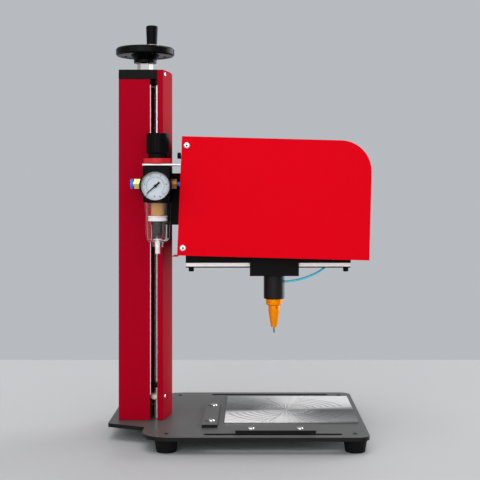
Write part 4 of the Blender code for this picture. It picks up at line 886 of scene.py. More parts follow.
def flute(bm: BMesh, low: float, high: float, every: int, margin: float, depth: float) -> None:
    """Sink some of an upright turned piece's side faces, evenly round it.

    Args:
        bm: The mesh, whose axis is the upright through the origin.
        low: The faces' middles lie above this height.
        high: The faces' middles lie below this height.
        every: How many faces there are to each sunk one.
        margin: How far the sunk face's edge lies inside its face.
        depth: How deep it sinks.
    """
    sides = []
    for face in bm.faces:
        middle = face.calc_center_median()
        if abs(face.normal.z) < SIDE_FACING and low < middle.z < high:
            sides.append((math.atan2(middle.y, middle.x), face))
    sides.sort(key=lambda entry: entry[0])
    chosen = [face for _, face in sides[::every]]
    bmesh.ops.inset_individual(bm, faces=chosen, thickness=margin, depth=-depth, use_even_offset=True)


def block(low: Point, high: Point, edge: float = 0.0) -> BMesh:
    """Make a box between two corners.

    Args:
        low: Its lowest corner.
        high: Its highest corner.
        edge: The rounding of its edges.

    Returns:
        The mesh in its place.
    """
    bm = bmesh.new()
    size = Vector(high) - Vector(low)
    place = Matrix.Translation((Vector(low) + Vector(high)) / 2) @ Matrix.Diagonal((*size, 1.0))
    bmesh.ops.create_cube(bm, size=1.0, matrix=place)
    if edge:
        soften(bm, edge)
    return bm


def merged(first: BMesh, *others: BMesh) -> BMesh:
    """Add meshes to the first one as loose shells.

    Args:
        first: The mesh that grows.
        others: The meshes added, which are freed.

    Returns:
        The first mesh.
    """
    for other in others:
        spare = bpy.data.meshes.new("spare")
        other.to_mesh(spare)
        other.free()
        first.from_mesh(spare)
        bpy.data.meshes.remove(spare)
    return first


def curve_mesh(curve: bpy.types.Curve) -> BMesh:
    """Make a mesh of a curve or a text, which is removed.

    Args:
        curve: The curve or text.

    Returns:
        Its mesh.
    """
    spare = bpy.data.objects.new("spare", curve)
    mesh = bpy.data.meshes.new_from_object(spare)
    bm = bmesh.new()
    bm.from_mesh(mesh)
    bpy.data.objects.remove(spare)
    bpy.data.curves.remove(curve)
    bpy.data.meshes.remove(mesh)
    return bm


def linked(name: str, data: bpy.types.ID) -> bpy.types.Object:
    """Put a mesh, light or camera in the scene.

    Args:
        name: The object's name.
        data: The mesh, light or camera.

    Returns:
        The object.
    """
    made = bpy.data.objects.new(name, data)
    bpy.context.scene.collection.objects.link(made)
    return made


def hand_over(bm: BMesh, name: str, finish: Finish, body: str, *nodes: str) -> bpy.types.Object:
    """Turn a finished mesh into a piece that rides on a body.

    Args:
        bm: The mesh, which is freed.
        name: The piece's name.
        finish: Its finish.
        body: The CAD body that it moves with, or nothing for a piece that rides on no body.
        nodes: The CAD nodes that it stands for.

    Returns:
        The piece.
    """
    mesh = bpy.data.meshes.new(name)
    bm.to_mesh(mesh)
    bm.free()
    mesh.shade_smooth()
    mesh.set_sharp_from_angle(angle=SMOOTH_ANGLE)
    mesh.materials.append(finish.material())
    piece = linked(name, mesh)
    if body:
        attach(piece, body)
        level = piece.modifiers.new("level_normals", "WEIGHTED_NORMAL")
        level.keep_sharp = True
        level.weight = FLAT_WEIGHT
    if nodes:
        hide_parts(*nodes)
    LOG.info("%s on %s, %d faces, %s", name, body or "two bodies", len(mesh.polygons), finish.name)
    return piece


def stand_in(bm: BMesh, name: str, finish: Finish, node: str) -> bpy.types.Object:
    """Turn a finished mesh into the piece that stands for a CAD node and rides on its body."""
    return hand_over(bm, name, finish, body_of(node), node)


def refine(node: str, finish: Finish, edge: float) -> None:
    """Replace a CAD node by a copy of its shape with rounded edges and smooth walls.

    Args:
        node: The CAD node.
        finish: The piece's finish.
        edge: The rounding of its sharp edges, or 0 for none.
    """
    bm = bmesh.new()
    bm.from_mesh(frame["nodes"][node].data)
    weld(bm)
    bmesh.ops.dissolve_limit(
        bm, angle_limit=FLAT_ANGLE, verts=bm.verts, edges=bm.edges, use_dissolve_boundaries=False
    )
    if edge:
        soften(bm, edge)
    stand_in(bm, f"{node}_fine", finish, node)


@dataclass(frozen=True)
class SocketScrew:
    """A screw of which the head shows, with a dark disc of painted shade on its hexagon socket's bottom."""

    radius: float
    height: float
    socket: float
    dome: float
    finish: Finish

    def floor(self) -> float:
        """Return the height of the socket's bottom."""
        return self.height - min(self.socket, self.height * SOCKET_DEPTH)

    def head(self, centre: Point, facing: Facing) -> BMesh:
        """Make the head with its hexagon socket.

        Args:
            centre: The middle of its seat.
            facing: Where it points.

        Returns:
            The mesh in its place.
        """
        radius, height, socket, floor = self.radius, self.height, self.socket, self.floor()
        rim = max(radius * HEAD_RIM, socket * SOCKET_WALL)
        shoulder = height * (1.0 - self.dome)
        bm = turned((
            (0.0, 0.0), (radius, 0.0), (radius, shoulder), (radius * HEAD_CURVE, (shoulder + 2 * height) / 3),
            (rim, height), (socket, height), (socket, floor), (0.0, floor),
        ), steps=SCREW_STEPS)
        for vert in bm.verts:
            if abs(vert.co.xy.length - socket) < WELD and vert.co.z > floor - WELD:
                corner = math.atan2(vert.co.y, vert.co.x) % (2 * HALF_FLAT) - HALF_FLAT
                vert.co.xy *= math.cos(HALF_FLAT) / math.cos(corner)
        place_turned(bm, centre, facing)
        return bm

    def fit(self, name: str, body: str, centre: Point, facing: Facing, swing: Matrix | None = None) -> None:
        """Build the head and the dark disc of painted shade on its socket's bottom on a body.

        Args:
            name: The screw's name.
            body: The body that it moves with.
            centre: The middle of its seat.
            facing: Where it points.
            swing: A further placing after that, if any.
        """
        floor = self.floor()
        # The socket's bottom is a dark disc of painted shade, for the shade in the hollow socket
        bottom = disc(self.socket * math.cos(HALF_FLAT) - HAIR, floor, floor + HAIR)
        head, shade = self.head(centre, facing), turned(bottom, centre, facing, SCREW_STEPS)
        for bm, piece, finish in ((head, name, self.finish), (shade, f"{name}_socket", SLOT_BLACK)):
            if swing:
                move(bm, swing)
            hand_over(bm, piece, finish, body)


Refined = tuple[tuple[str, Finish, float], ...]


@dataclass
class Assembly:
    """A sub-assembly: the CAD nodes that it refines, each with its finish and edge rounding, and its own pieces."""

    pieces: Refined = ()

    def build(self) -> None:
        """Refine the listed CAD nodes, and build the other pieces."""
        for node, finish, edge in self.pieces:
            refine(node, finish, edge)
        self.dress()

    def dress(self) -> None:
        """Build the pieces that are no plain copies; each sub-assembly has its own."""
        raise NotImplementedError


@dataclass
class BaseAssembly(Assembly):
    """Base plate on rubber feet, with its fences, work plate and screws."""

    pieces: Refined = (
        ("base_plate", BASE_BLACK, 0.0004),
        ("side_fence", BASE_BLACK, 0.0003),
        ("work_plate", SPUN_PLATE, 0.0002),
    )
    plate_top: float = 0.022
    fence_top: float = 0.0258
    foot_places: tuple[tuple[str, float, float], ...] = (
        ("foot_rear_near", -0.0900, -0.128),
        ("foot_rear_far", -0.0900, 0.128),
        ("foot_front_near", 0.1465, -0.128),
        ("foot_front_far", 0.1465, 0.128),
    )
    foot_profile: Profile = (
        (0.0026, 0.0167), (0.0150, 0.0167), (0.0150, 0.0150), (0.0125, 0.0), (0.0055, 0.0),
        (0.0055, 0.0090), (0.0026, 0.0090),
    )
    foot_rounding: float = 0.0007
    end_screws: tuple[Point2, ...] = ((-0.0360, -0.0705), (-0.0360, 0.0305))
    side_screws: tuple[Point2, ...] = ((0.0159, -0.1175), (0.0777, -0.1175))
    fence_screw: SocketScrew = SocketScrew(0.0042, 0.0020, 0.0017, 0.6, SCREW_CHROME)
    foot_screw: SocketScrew = SocketScrew(0.0030, 0.0008, 0.0014, 0.35, DULL_SCREW)
    clamp_inset: float = 0.0343
    clamp_length: float = 0.1725
    clamp_y: float = 0.132
    clamp_half_width: float = 0.0035
    # Painted shade in the clamp slots: the dark skin's thickness, its steps round each end, and the width of the flat
    # dark lip round the slot's top
    lining: float = 0.0002
    lining_steps: int = 32
    lip: float = 0.0008
    slot_half_width: float = 0.0019
    slot_reach: float = 0.0072
    slot_depth: float = 0.0030
    slot_steps: int = 16

    def dress(self) -> None:
        """Build the feet, the screws, the end fence and the painted shade in the slots."""
        for name, x, y in self.foot_places:
            foot = turned(self.foot_profile, (x, y, 0.0), steps=SMALL_STEPS, edge=self.foot_rounding, closed=True)
            stand_in(foot, f"{name}_rubber", FOOT_RUBBER, name)
            place = (x, y, self.plate_top + HAIR)
            self.foot_screw.fit(f"{name}_screw", "frame", place, Facing.UP)
        for number, (x, y) in enumerate(self.end_screws + self.side_screws, 1):
            place = (x, y, self.fence_top + HAIR)
            self.fence_screw.fit(f"fence_screw_{number}", "frame", place, Facing.UP)
        self.build_end_fence()
        for side, sign in SIDES:
            self.line_slot(f"clamp_slot_{side}_lining", sign)

    def line_slot(self, name: str, sign: int) -> None:
        """Paint shade into a clamp slot: a thin dark skin on its walls, with a flat dark lip round its top edge.

        Args:
            name: The lining's name.
            sign: -1 for the near slot, 1 for the far one.
        """
        low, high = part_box("base_plate")
        half = self.clamp_half_width
        reach = self.clamp_length / 2 - half
        inner, outer = half - self.lining, half - HAIR / 2
        wall = (
            (inner, low.z + HAIR), (outer, low.z + HAIR), (outer, high.z + HAIR / 2),
            (half + self.lip, high.z + HAIR / 2), (half + self.lip, high.z + HAIR), (inner, high.z + HAIR),
        )
        bm = turned(wall, steps=self.lining_steps, closed=True)
        move(bm, Matrix.Rotation(math.pi / self.lining_steps, 4, "Z"))
        for vert in bm.verts:
            vert.co.x += math.copysign(reach, vert.co.x)
        middle = high.x - self.clamp_inset - self.clamp_length / 2
        move(bm, Matrix.Translation((middle, sign * self.clamp_y, 0.0)))
        hand_over(bm, name, SLOT_BLACK, "frame")

    def build_end_fence(self) -> None:
        """Build the end fence with the adjusting slot beside each of its screws."""
        low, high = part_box("end_fence")
        middle = sum(y for _, y in self.end_screws) / len(self.end_screws)
        bm = bmesh.new()
        for x, y in self.end_screws:
            near, far = (low.y, middle) if y < middle else (middle, high.y)
            self.cut_top(bm, (low.x, near), (high.x, far), high.z, (x, y))
        weld(bm)
        for vert in extruded(bm, [edge for edge in bm.edges if edge.is_boundary]):
            vert.co.z = low.z
        bmesh.ops.holes_fill(bm, edges=[edge for edge in bm.edges if edge.is_boundary], sides=0)
        face_outwards(bm)
        stand_in(bm, "end_fence_bar", BASE_BLACK, "end_fence")

    def cut_top(self, bm: BMesh, low: Point2, high: Point2, top: float, screw: Point2) -> None:
        """Add one half of the fence's top, with its slot sunk.

        Args:
            bm: The mesh.
            low: The half's low corner.
            high: Its high corner.
            top: The height of the fence's top.
            screw: The place of the half's screw.
        """
        centre = Matrix.Translation(((low[0] + high[0]) / 2, (low[1] + high[1]) / 2, top))
        stretch = Matrix.Diagonal((high[0] - low[0], high[1] - low[1], 1.0, 1.0))
        outline = bmesh.ops.create_grid(bm, x_segments=1, y_segments=1, size=0.5, matrix=centre @ stretch)
        face = outline["verts"][0].link_faces[0]
        edges = list(face.edges)
        bmesh.ops.delete(bm, geom=[face], context="FACES_ONLY")
        middle, half = screw[0] - self.slot_reach / 2, self.slot_reach / 2
        loop = bmesh.ops.create_circle(
            bm, cap_ends=False, radius=self.slot_half_width, segments=self.slot_steps,
            matrix=Matrix.Translation((middle, screw[1], top)),
        )
        for vert in loop["verts"]:
            vert.co.x += half if vert.co.x > middle else -half
        slot = list({edge for vert in loop["verts"] for edge in vert.link_edges})
        bmesh.ops.bridge_loops(bm, edges=edges + slot)
        floor = extruded(bm, slot)
        bmesh.ops.translate(bm, vec=(0.0, 0.0, -self.slot_depth), verts=floor)
        bmesh.ops.contextual_create(bm, geom=floor)


@dataclass
class ColumnAssembly(Assembly):
    """Column covers, guide rods and the stops on them."""

    pieces: Refined = (
        ("column_post", SATIN_BLACK, 0.0006),
        ("rear_cover", SHADED_COLUMN_RED, 0.0004),
        ("front_cover", SHADED_COLUMN_RED, 0.0008),
        ("column_cap", SATIN_BLACK, 0.0003),
        ("lower_bearing", GROUND_STEEL, 0.0005),
        ("upper_bearing", GROUND_STEEL, 0.0005),
        ("rod_collar_near", SATIN_BLACK, 0.0004),
        ("rod_collar_far", SATIN_BLACK, 0.0004),
    )
    rod_x: float = -0.1094
    rod_y: float = 0.035
    rod_radius: float = 0.004
    bumper_radius: float = 0.0098
    bumper_rounding: float = 0.0025
    slot_edge: tuple[Point, Point] = ((-0.11805, 0.0487, 0.0560), (-0.1171, 0.0498, 0.4676))
    bow_centre_x: float = -0.24944
    bow_radius: float = 0.15654
    bow_screw_y: float = 0.0435
    bow_screw_heights: Point2 = (0.0529, 0.4819)
    bow_screw: SocketScrew = SocketScrew(0.0026, 0.0009, 0.0008, 0.7, SCREW_CHROME)

    def dress(self) -> None:
        """Build the rods, the slots' bright edges and the cover screws."""
        for side, sign in SIDES:
            self.build_rod(side, sign * self.rod_y)
            (x_low, y_in, z_low), (x_high, y_out, z_high) = self.slot_edge
            y_low, y_high = sorted((sign * y_in, sign * y_out))
            edge = block((x_low, y_low, z_low), (x_high, y_high, z_high), FINE_EDGE)
            hand_over(edge, f"slot_edge_{side}", BARE_EDGE, "frame")
            for level, height in zip(("low", "high"), self.bow_screw_heights):
                self.build_bow_screw(f"cover_screw_{side}_{level}", sign * self.bow_screw_y, height)

    def build_rod(self, side: str, y: float) -> None:
        """Build a guide rod with its bumper.

        Args:
            side: near or far.
            y: The rod's axis.
        """
        place = (self.rod_x, y, 0.0)
        low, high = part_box(f"guide_rod_{side}")
        rod = turned(disc(self.rod_radius, low.z, high.z), place, edge=EDGE)
        stand_in(rod, f"guide_rod_{side}_ground", POLISHED_ROD, f"guide_rod_{side}")
        low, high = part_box(f"rod_bumper_{side}")
        profile = ring(self.rod_radius + HAIR, self.bumper_radius, low.z, high.z, self.bumper_rounding)
        bumper = turned(profile, place, closed=True)
        stand_in(bumper, f"rod_bumper_{side}_pad", BUMPER_CREAM, f"rod_bumper_{side}")

    def build_bow_screw(self, name: str, y: float, height: float) -> None:
        """Build one of the screws that hold the bowed cover.

        Args:
            name: The screw's name.
            y: Its place across the bow.
            height: Its height.
        """
        out = Vector((math.sqrt(self.bow_radius ** 2 - y ** 2), y, 0.0)).normalized()
        seat = Vector((self.bow_centre_x, 0.0, height)) + out * (self.bow_radius + HAIR)
        swing = Matrix.Translation(seat) @ Matrix.Rotation(math.atan2(out.y, out.x), 4, "Z")
        self.bow_screw.fit(name, "frame", (0.0, 0.0, 0.0), Facing.FRONT, swing)


@dataclass
class HandwheelAssembly(Assembly):
    """Handwheel with its lead screw, lock nut, stud and crank."""

    pieces: Refined = (
        ("handwheel", WHEEL_BLACK, 0.0008),
        ("lead_screw", GROUND_STEEL, 0.0),
        ("lock_nut", NUT_NICKEL, 0.0006),
        ("handle_stud", BRIGHT_CHROME, 0.0002),
    )
    crank: Profile = (
        (0.0, 0.5490), (0.0060, 0.5490), (0.0070, 0.5487), (0.0076, 0.5481), (0.0079, 0.5472),
        (0.0071, 0.5268), (0.0071, 0.5233), (0.0033, 0.5233), (0.0033, 0.5463), (0.0, 0.5463),
    )
    axis: Point2 = (-0.1296, 0.0)
    stud: Point2 = (-0.1178, -0.0270)
    washer: tuple[float, float, float, float] = (0.0058, 0.0088, 0.5226, 0.5232)
    washer_rounding: float = 0.0001
    plugs: tuple[Point2, ...] = ((-0.0272, 0.0057), (0.0258, 0.0100), (0.0030, -0.0262))
    plug_profile: Profile = ((0.0, 0.0), (0.0017, 0.0), (0.0015, 0.0004), (0.0, 0.0004))
    web_bottom: float = 0.5125

    def dress(self) -> None:
        """Build the crank's handle, its washer and the wheel's plugs."""
        body = body_of("handwheel")
        place = (*self.stud, 0.0)
        stand_in(turned(self.crank, place, steps=SMALL_STEPS), "crank_handle_grip", MOULDED_BLACK, "crank_handle")
        washer = turned(ring(*self.washer), place, steps=SMALL_STEPS, edge=self.washer_rounding, closed=True)
        hand_over(washer, "crank_washer", NUT_NICKEL, body)
        for number, (x, y) in enumerate(self.plugs, 1):
            place = (self.axis[0] + x, self.axis[1] + y, self.web_bottom - HAIR)
            plug = turned(self.plug_profile, place, Facing.DOWN, SCREW_STEPS)
            hand_over(plug, f"wheel_plug_{number}", SLOT_BLACK, body)


@dataclass
class HeadAssembly(Assembly):
    """Marking head: cover, plates, rails, motors and lift carriage."""

    pieces: Refined = (
        ("lift_carriage", BLACK_ANODISED, 0.0005),
        ("lift_nut", BEARING_BRONZE, 0.0004),
        ("rod_bushing_near", BEARING_BRONZE, 0.0003),
        ("rod_bushing_far", BEARING_BRONZE, 0.0003),
        ("head_back_plate", BLACK_ANODISED, 0.0004),
        ("head_cover", HEAD_RED, 0.0003),
        ("stage_plate", GROUND_STEEL, 0.0004),
        ("cross_rail_rear", RAIL_STEEL, 0.0004),
        ("cross_rail_front", RAIL_STEEL, 0.0004),
        ("stage_motor", MOULDED_BLACK, 0.0008),
    )
    side_y: float = 0.0900
    screw_places: tuple[Point2, Point2] = ((-0.0668, 0.3848), (-0.0718, 0.2526))
    cover_screw: SocketScrew = SocketScrew(0.0042, 0.0022, 0.0015, 0.6, SCREW_NICKEL)
    stop_screw: SocketScrew = SocketScrew(0.0041, 0.0058, 0.0023, 0.1, MOULDED_BLACK)
    stop_place: Point = (-0.0743, -0.073, 0.3723)
    lip: tuple[Point, Point] = ((-0.0855, -0.088, 0.2412), (-0.0790, -0.060, 0.2424))

    def dress(self) -> None:
        """Build the cover's screws, the bracket's screw and the cover's lip."""
        for (side, sign), facing in zip(SIDES, (Facing.NEAR, Facing.FAR)):
            for level, (x, z) in zip(("high", "low"), self.screw_places):
                seat = (x, sign * (self.side_y + HAIR), z)
                self.cover_screw.fit(f"head_screw_{side}_{level}", "head", seat, facing)
        stop = self.stop_screw.head(self.stop_place, Facing.REAR)
        hand_over(stop, "bracket_screw", self.stop_screw.finish, "head")
        hand_over(block(*self.lip, EDGE), "cover_lip", HEAD_RED, "head")


@dataclass
class RegulatorAssembly(Assembly):
    """Filter regulator with its gauge, bowl, fittings and bracket."""

    pieces: Refined = (
        ("regulator_bracket", BRACKET_STEEL, 0.0003),
        ("regulator_body", MOULDED_BLACK, 0.0006),
        ("gauge_case", MOULDED_BLACK, 0.0004),
        ("gauge_dial", DIAL_WHITE, 0.0),
        ("filter_bowl", CLEAR_BOWL, 0.0003),
        ("inlet_fitting", TURNED_BRASS, 0.0003),
        ("outlet_fitting", SHADED_BRASS, 0.0003),
        ("outlet_tube", COLLAR_BLUE, 0.0002),
        ("gauge_lens", CLEAR_LENS, 0.0002),
        ("gauge_pointer", PRINT_BLACK, 0.0),
        ("inlet_collar", COLLAR_BLUE, 0.0003),
        ("drain_valve", BAFFLE_WHITE, 0.0003),
    )
    centre: Point = (-0.1056, -0.076, 0.0)
    knob_profile: Profile = (
        (0.0, 0.3688), (0.0126, 0.3688), (0.0126, 0.3743), (0.0143, 0.3752), (0.0147, 0.3763),
        (0.0147, 0.3998), (0.0143, 0.4008), (0.0133, 0.4012), (0.0, 0.4012),
    )
    knob_steps: int = 72
    flute_span: Point2 = (0.3765, 0.3997)
    flute_margin: float = 0.00025
    flute_depth: float = 0.0004
    sunk_every: int = 3
    nut_inner: float = 0.0128
    nut_radius: float = 0.0185
    nut_rounding: float = 0.0006
    nut_steps: int = 36
    notch_end: float = 0.001
    notch_margin: float = 0.0005
    baffle: Profile = (
        (0.0, 0.2938), (0.013, 0.2938), (0.013, 0.2926), (0.0118, 0.2912), (0.0125, 0.2900), (0.0125, 0.2871),
        (0.0, 0.2871),
    )
    core: Profile = ((0.0, 0.2870), (0.0062, 0.2870), (0.0062, 0.2700), (0.0052, 0.2672), (0.0, 0.2672))

    def dress(self) -> None:
        """Build the knob, the ring nut, the gauge's print and the filter's inside."""
        self.build_knob()
        GaugePrint().build()
        low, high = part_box("filter_element")
        element = turned(disc((high.x - low.x) / 2, low.z, high.z), self.centre, edge=EDGE)
        stand_in(element, "filter_element_sinter", AMBER_SINTER, "filter_element")
        stand_in(turned(self.baffle, self.centre, edge=EDGE), "filter_baffle", BAFFLE_WHITE, "filter_core")
        hand_over(turned(self.core, self.centre, edge=EDGE), "filter_stem", CORE_DARK, body_of("filter_core"))

    def build_knob(self) -> None:
        """Build the fluted knob and the notched ring nut below it."""
        knob = turned(self.knob_profile, steps=self.knob_steps)
        flute(knob, *self.flute_span, self.sunk_every, self.flute_margin, self.flute_depth)
        place_turned(knob, self.centre, Facing.UP)
        stand_in(knob, "regulator_knob_fluted", MOULDED_BLACK, "regulator_knob")
        low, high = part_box("ring_nut")
        profile = ring(self.nut_inner, self.nut_radius, low.z, high.z, self.nut_rounding)
        nut = turned(profile, steps=self.nut_steps, closed=True)
        span = (low.z + self.notch_end, high.z - self.notch_end)
        flute(nut, *span, self.sunk_every, self.notch_margin, self.flute_depth)
        place_turned(nut, self.centre, Facing.UP)
        stand_in(nut, "ring_nut_notched", RING_RED, "ring_nut")


@dataclass
class GaugePrint:
    """The plain scale printed on the gauge's dial."""

    centre: Point = (-0.1045, -0.11952, 0.3323)
    thickness: float = 0.00004
    zero: float = 225.0
    sweep: float = 270.0
    marks: int = 50
    long_every: int = 5
    numbers: tuple[int, ...] = (0, 2, 4, 6, 8, 10)
    number_radius: float = 0.0138
    number_size: float = 0.0031
    tick_outer: float = 0.0167
    tick_short: float = 0.0009
    tick_long: float = 0.0020
    tick_width: float = 0.00032
    arc_radius: float = 0.0112
    arc_width: float = 0.0005
    arc_steps: int = 72
    dots: tuple[Point2, ...] = ((-0.0012, -0.0133), (0.0059, -0.0133))
    dot_radius: float = 0.0011
    hub: tuple[float, float, float] = (0.0020, 0.0018, 0.0029)

    def build(self) -> None:
        """Build the ticks, the numbers, the inner arc with the two dots, and the pointer's hub."""
        for name, finish, parts in (
            ("gauge_ticks", PRINT_BLACK, [self.tick(number) for number in range(self.marks + 1)]),
            ("gauge_numbers", PRINT_BLACK, [self.number(value) for value in self.numbers]),
            ("gauge_arc", SCALE_GREY, [self.arc(), *(self.dot(*place) for place in self.dots)]),
        ):
            bm = merged(*parts)
            place_turned(bm, self.centre, Facing.NEAR)
            hand_over(bm, name, finish, body_of("gauge_dial"))
        hub = turned(disc(*self.hub), self.centre, Facing.NEAR, SMALL_STEPS, FINE_EDGE)
        hand_over(hub, "gauge_pointer_hub", PRINT_BLACK, body_of("gauge_pointer"))

    def turn_of(self, share: float) -> Matrix:
        """Return the turn round the dial's centre to a share of the scale."""
        return Matrix.Rotation(math.radians(self.zero - self.sweep * share), 4, "Z")

    def tick(self, number: int) -> BMesh:
        """Make one tick, longer at each fifth.

        Args:
            number: Its number along the scale.

        Returns:
            Its mesh on the dial's plane.
        """
        length = self.tick_short if number % self.long_every else self.tick_long
        half = self.tick_width / 2
        bm = block((self.tick_outer - length, -half, 0.0), (self.tick_outer, half, self.thickness))
        move(bm, self.turn_of(number / self.marks))
        return bm

    def number(self, value: int) -> BMesh:
        """Make one number of the scale, upright.

        Args:
            value: The number.

        Returns:
            Its mesh on the dial's plane.
        """
        text = bpy.data.curves.new("number", "FONT")
        text.body = str(value)
        text.size = self.number_size
        text.align_x, text.align_y = "CENTER", "CENTER"
        text.extrude = self.thickness / 2
        bm = curve_mesh(text)
        weld(bm, WELD / 2)
        where = self.turn_of(value / self.numbers[-1]) @ Vector((self.number_radius, 0.0, self.thickness / 2))
        move(bm, Matrix.Translation(where))
        return bm

    def arc(self) -> BMesh:
        """Make the thin inner arc of the scale.

        Returns:
            Its mesh on the dial's plane.
        """
        bm = bmesh.new()
        low, high = self.arc_radius - self.arc_width / 2, self.arc_radius + self.arc_width / 2
        section = bm.faces.new([bm.verts.new((x, 0.0, z)) for x, z in ring(low, high, 0.0, self.thickness)])
        spin_round(bm, [section], math.radians(self.sweep), self.arc_steps, False)
        move(bm, self.turn_of(1.0))
        face_outwards(bm)
        return bm

    def dot(self, x: float, y: float) -> BMesh:
        """Make one of the scale's two small dots."""
        return turned(disc(self.dot_radius, 0.0, self.thickness), (x, y, 0.0), steps=SCREW_STEPS)


@dataclass
class GantryAssembly(Assembly):
    """Gantry beam with the pin rail and its motor."""

    pieces: Refined = (
        ("gantry_beam", BLACK_ANODISED, 0.0004),
        ("pin_rail", RAIL_STEEL, 0.0002),
        ("gantry_motor", MOULDED_BLACK, 0.0006),
    )
    strip_top: float = 0.2253
    stop_places: Point2 = (-0.0645, 0.1433)
    stop_screw: SocketScrew = SocketScrew(0.00365, 0.0054, 0.0014, 0.2, MOULDED_BLACK)
    axis_y: float = -0.030

    def dress(self) -> None:
        """Build the rail's black strip and its stop screws."""
        low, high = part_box("pin_rail")
        corner = (high.x + HAIR, high.y + 2 * HAIR, self.strip_top)
        strip = block((low.x - HAIR, low.y - 2 * HAIR, low.z - HAIR), corner, FINE_EDGE)
        hand_over(strip, "rail_strip", MOULDED_BLACK, "gantry")
        for number, x in enumerate(self.stop_places, 1):
            stop = self.stop_screw.head((x, self.axis_y, low.z), Facing.DOWN)
            hand_over(stop, f"rail_stop_{number}", self.stop_screw.finish, "gantry")


@dataclass
class PinAssembly(Assembly):
    """Pin carriage with its air cylinder, nose, pin, spring and hose."""

    pieces: Refined = (
        ("carriage_block", BLACK_ANODISED, 0.0004),
        ("pin_cylinder", CYLINDER_BLACK, 0.0004),
        ("pin_nose", ORANGE_ANODISED, 0.0003),
        ("marking_pin", PIN_STEEL, 0.0001),
    )
    axis: Point2 = (0.0468, -0.030)
    collar_profile: Profile = ((0.0016, 0.0), (0.0020, 0.0), (0.0020, 0.0010), (0.0018, 0.0014), (0.0016, 0.0014))
    collar_place: Point = (0.0606, -0.0300, 0.2046)
    set_screw: SocketScrew = SocketScrew(0.0008, 0.0002, 0.0004, 0.35, SLOT_BLACK)
    set_screw_turn: float = 24.0
    set_screw_height: float = 0.1700
    neck_radius: float = 0.0076
    spring_span: Point2 = (0.1534, 0.1625)
    spring_radius: float = 0.0022
    spring_wire: float = 0.0003
    spring_turns: int = 6
    spring_turn_steps: int = 24
    spring_anchor: float = 0.1531
    spring_keep: float = 0.47
    hose_radius: float = 0.0015
    route: tuple[Point, ...] = (
        (0.0611, -0.0300, 0.2046), (0.0665, -0.0300, 0.2050), (0.0730, -0.0296, 0.2058),
        (0.0795, -0.0286, 0.2070), (0.0861, -0.0266, 0.2086), (0.0927, -0.0240, 0.2106),
        (0.0994, -0.0210, 0.2131), (0.1060, -0.0180, 0.2161), (0.1114, -0.0155, 0.2191),
        (0.1160, -0.0133, 0.2224), (0.1194, -0.0113, 0.2261), (0.1215, -0.0099, 0.2301),
        (0.1223, -0.0091, 0.2340), (0.1224, -0.0090, 0.2374),
    )
    route_pieces: int = 5
    section_resolution: int = 6

    def dress(self) -> None:
        """Build the nose's set screw, the hose collar, the spring and the hose."""
        screw = self.set_screw.head((0.0, -self.neck_radius - HAIR, self.set_screw_height), Facing.NEAR)
        turn = Matrix.Rotation(math.radians(self.set_screw_turn), 4, "Z")
        move(screw, Matrix.Translation((*self.axis, 0.0)) @ turn)
        hand_over(screw, "nose_set_screw", self.set_screw.finish, body_of("pin_nose"))
        collar = turned(self.collar_profile, self.collar_place, Facing.FRONT, SMALL_STEPS, closed=True)
        hand_over(collar, "hose_collar", HOSE_BLUE, body_of("pin_cylinder"))
        self.build_spring()
        self.build_hose()

    def smooth_route(self) -> list[Vector]:
        """Bend the hose's centre line smoothly through its given points.

        Returns:
            Its close points.
        """
        given = [Vector(point) for point in self.route]
        ends = [given[0], *given, given[-1]]
        points = []
        for p0, p1, p2, p3 in zip(ends, ends[1:], ends[2:], ends[3:]):
            for piece in range(self.route_pieces):
                t = piece / self.route_pieces
                bend = p1 * 2 + (p2 - p0) * t + (p0 * 2 - p1 * 5 + p2 * 4 - p3) * t ** 2
                points.append((bend + (p1 * 3 - p0 - p2 * 3 + p3) * t ** 3) / 2)
        points.append(given[-1])
        return points

    def swept(self, points: Sequence[Vector], radius: float) -> BMesh:
        """Sweep a round section along points.

        Args:
            points: The centre line.
            radius: The section's radius.

        Returns:
            The mesh.
        """
        curve = bpy.data.curves.new("line", "CURVE")
        curve.dimensions = "3D"
        curve.bevel_depth = radius
        curve.bevel_resolution = self.section_resolution
        curve.use_fill_caps = True
        line = curve.splines.new("POLY")
        line.points.add(len(points) - 1)
        for target, point in zip(line.points, points):
            target.co = (*point, 1.0)
        bm = curve_mesh(curve)
        weld(bm)
        face_outwards(bm)
        return bm

    def build_spring(self) -> None:
        """Build the return spring, which the pin presses together."""
        low, high = self.spring_span
        steps = self.spring_turns * self.spring_turn_steps
        points = []
        for step in range(steps + 1):
            angle = 2 * math.pi * self.spring_turns * step / steps
            round_axis = Vector((math.cos(angle), math.sin(angle), 0.0)) * self.spring_radius
            points.append(Vector((*self.axis, low + (high - low) * step / steps)) + round_axis)
        coil = self.swept(points, self.spring_wire)
        piece = hand_over(coil, "return_spring_wire", BRIGHT_CHROME, "pin_carriage", "return_spring")
        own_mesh(piece)

    def build_hose(self) -> None:
        """Build the hose from the cylinder to the clip on the beam, bending between them."""
        points = self.smooth_route()
        hose = hand_over(self.swept(points, self.hose_radius), "pin_hose", HOSE_BLUE, "", "air_hose")
        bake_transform(hose)


@dataclass(frozen=True)
class SoftSun:
    """A broad, distant light of the studio."""

    name: str
    source: Point
    spread: float
    strength: float

    def build(self) -> None:
        """Hang the light and turn it towards the machine."""
        data = bpy.data.lights.new(self.name, "SUN")
        data.angle = math.radians(self.spread)
        data.energy = self.strength
        lamp = linked(self.name, data)
        lamp.location = self.source
        lamp.rotation_euler = Vector(self.source).to_track_quat("Z", "Y").to_euler()


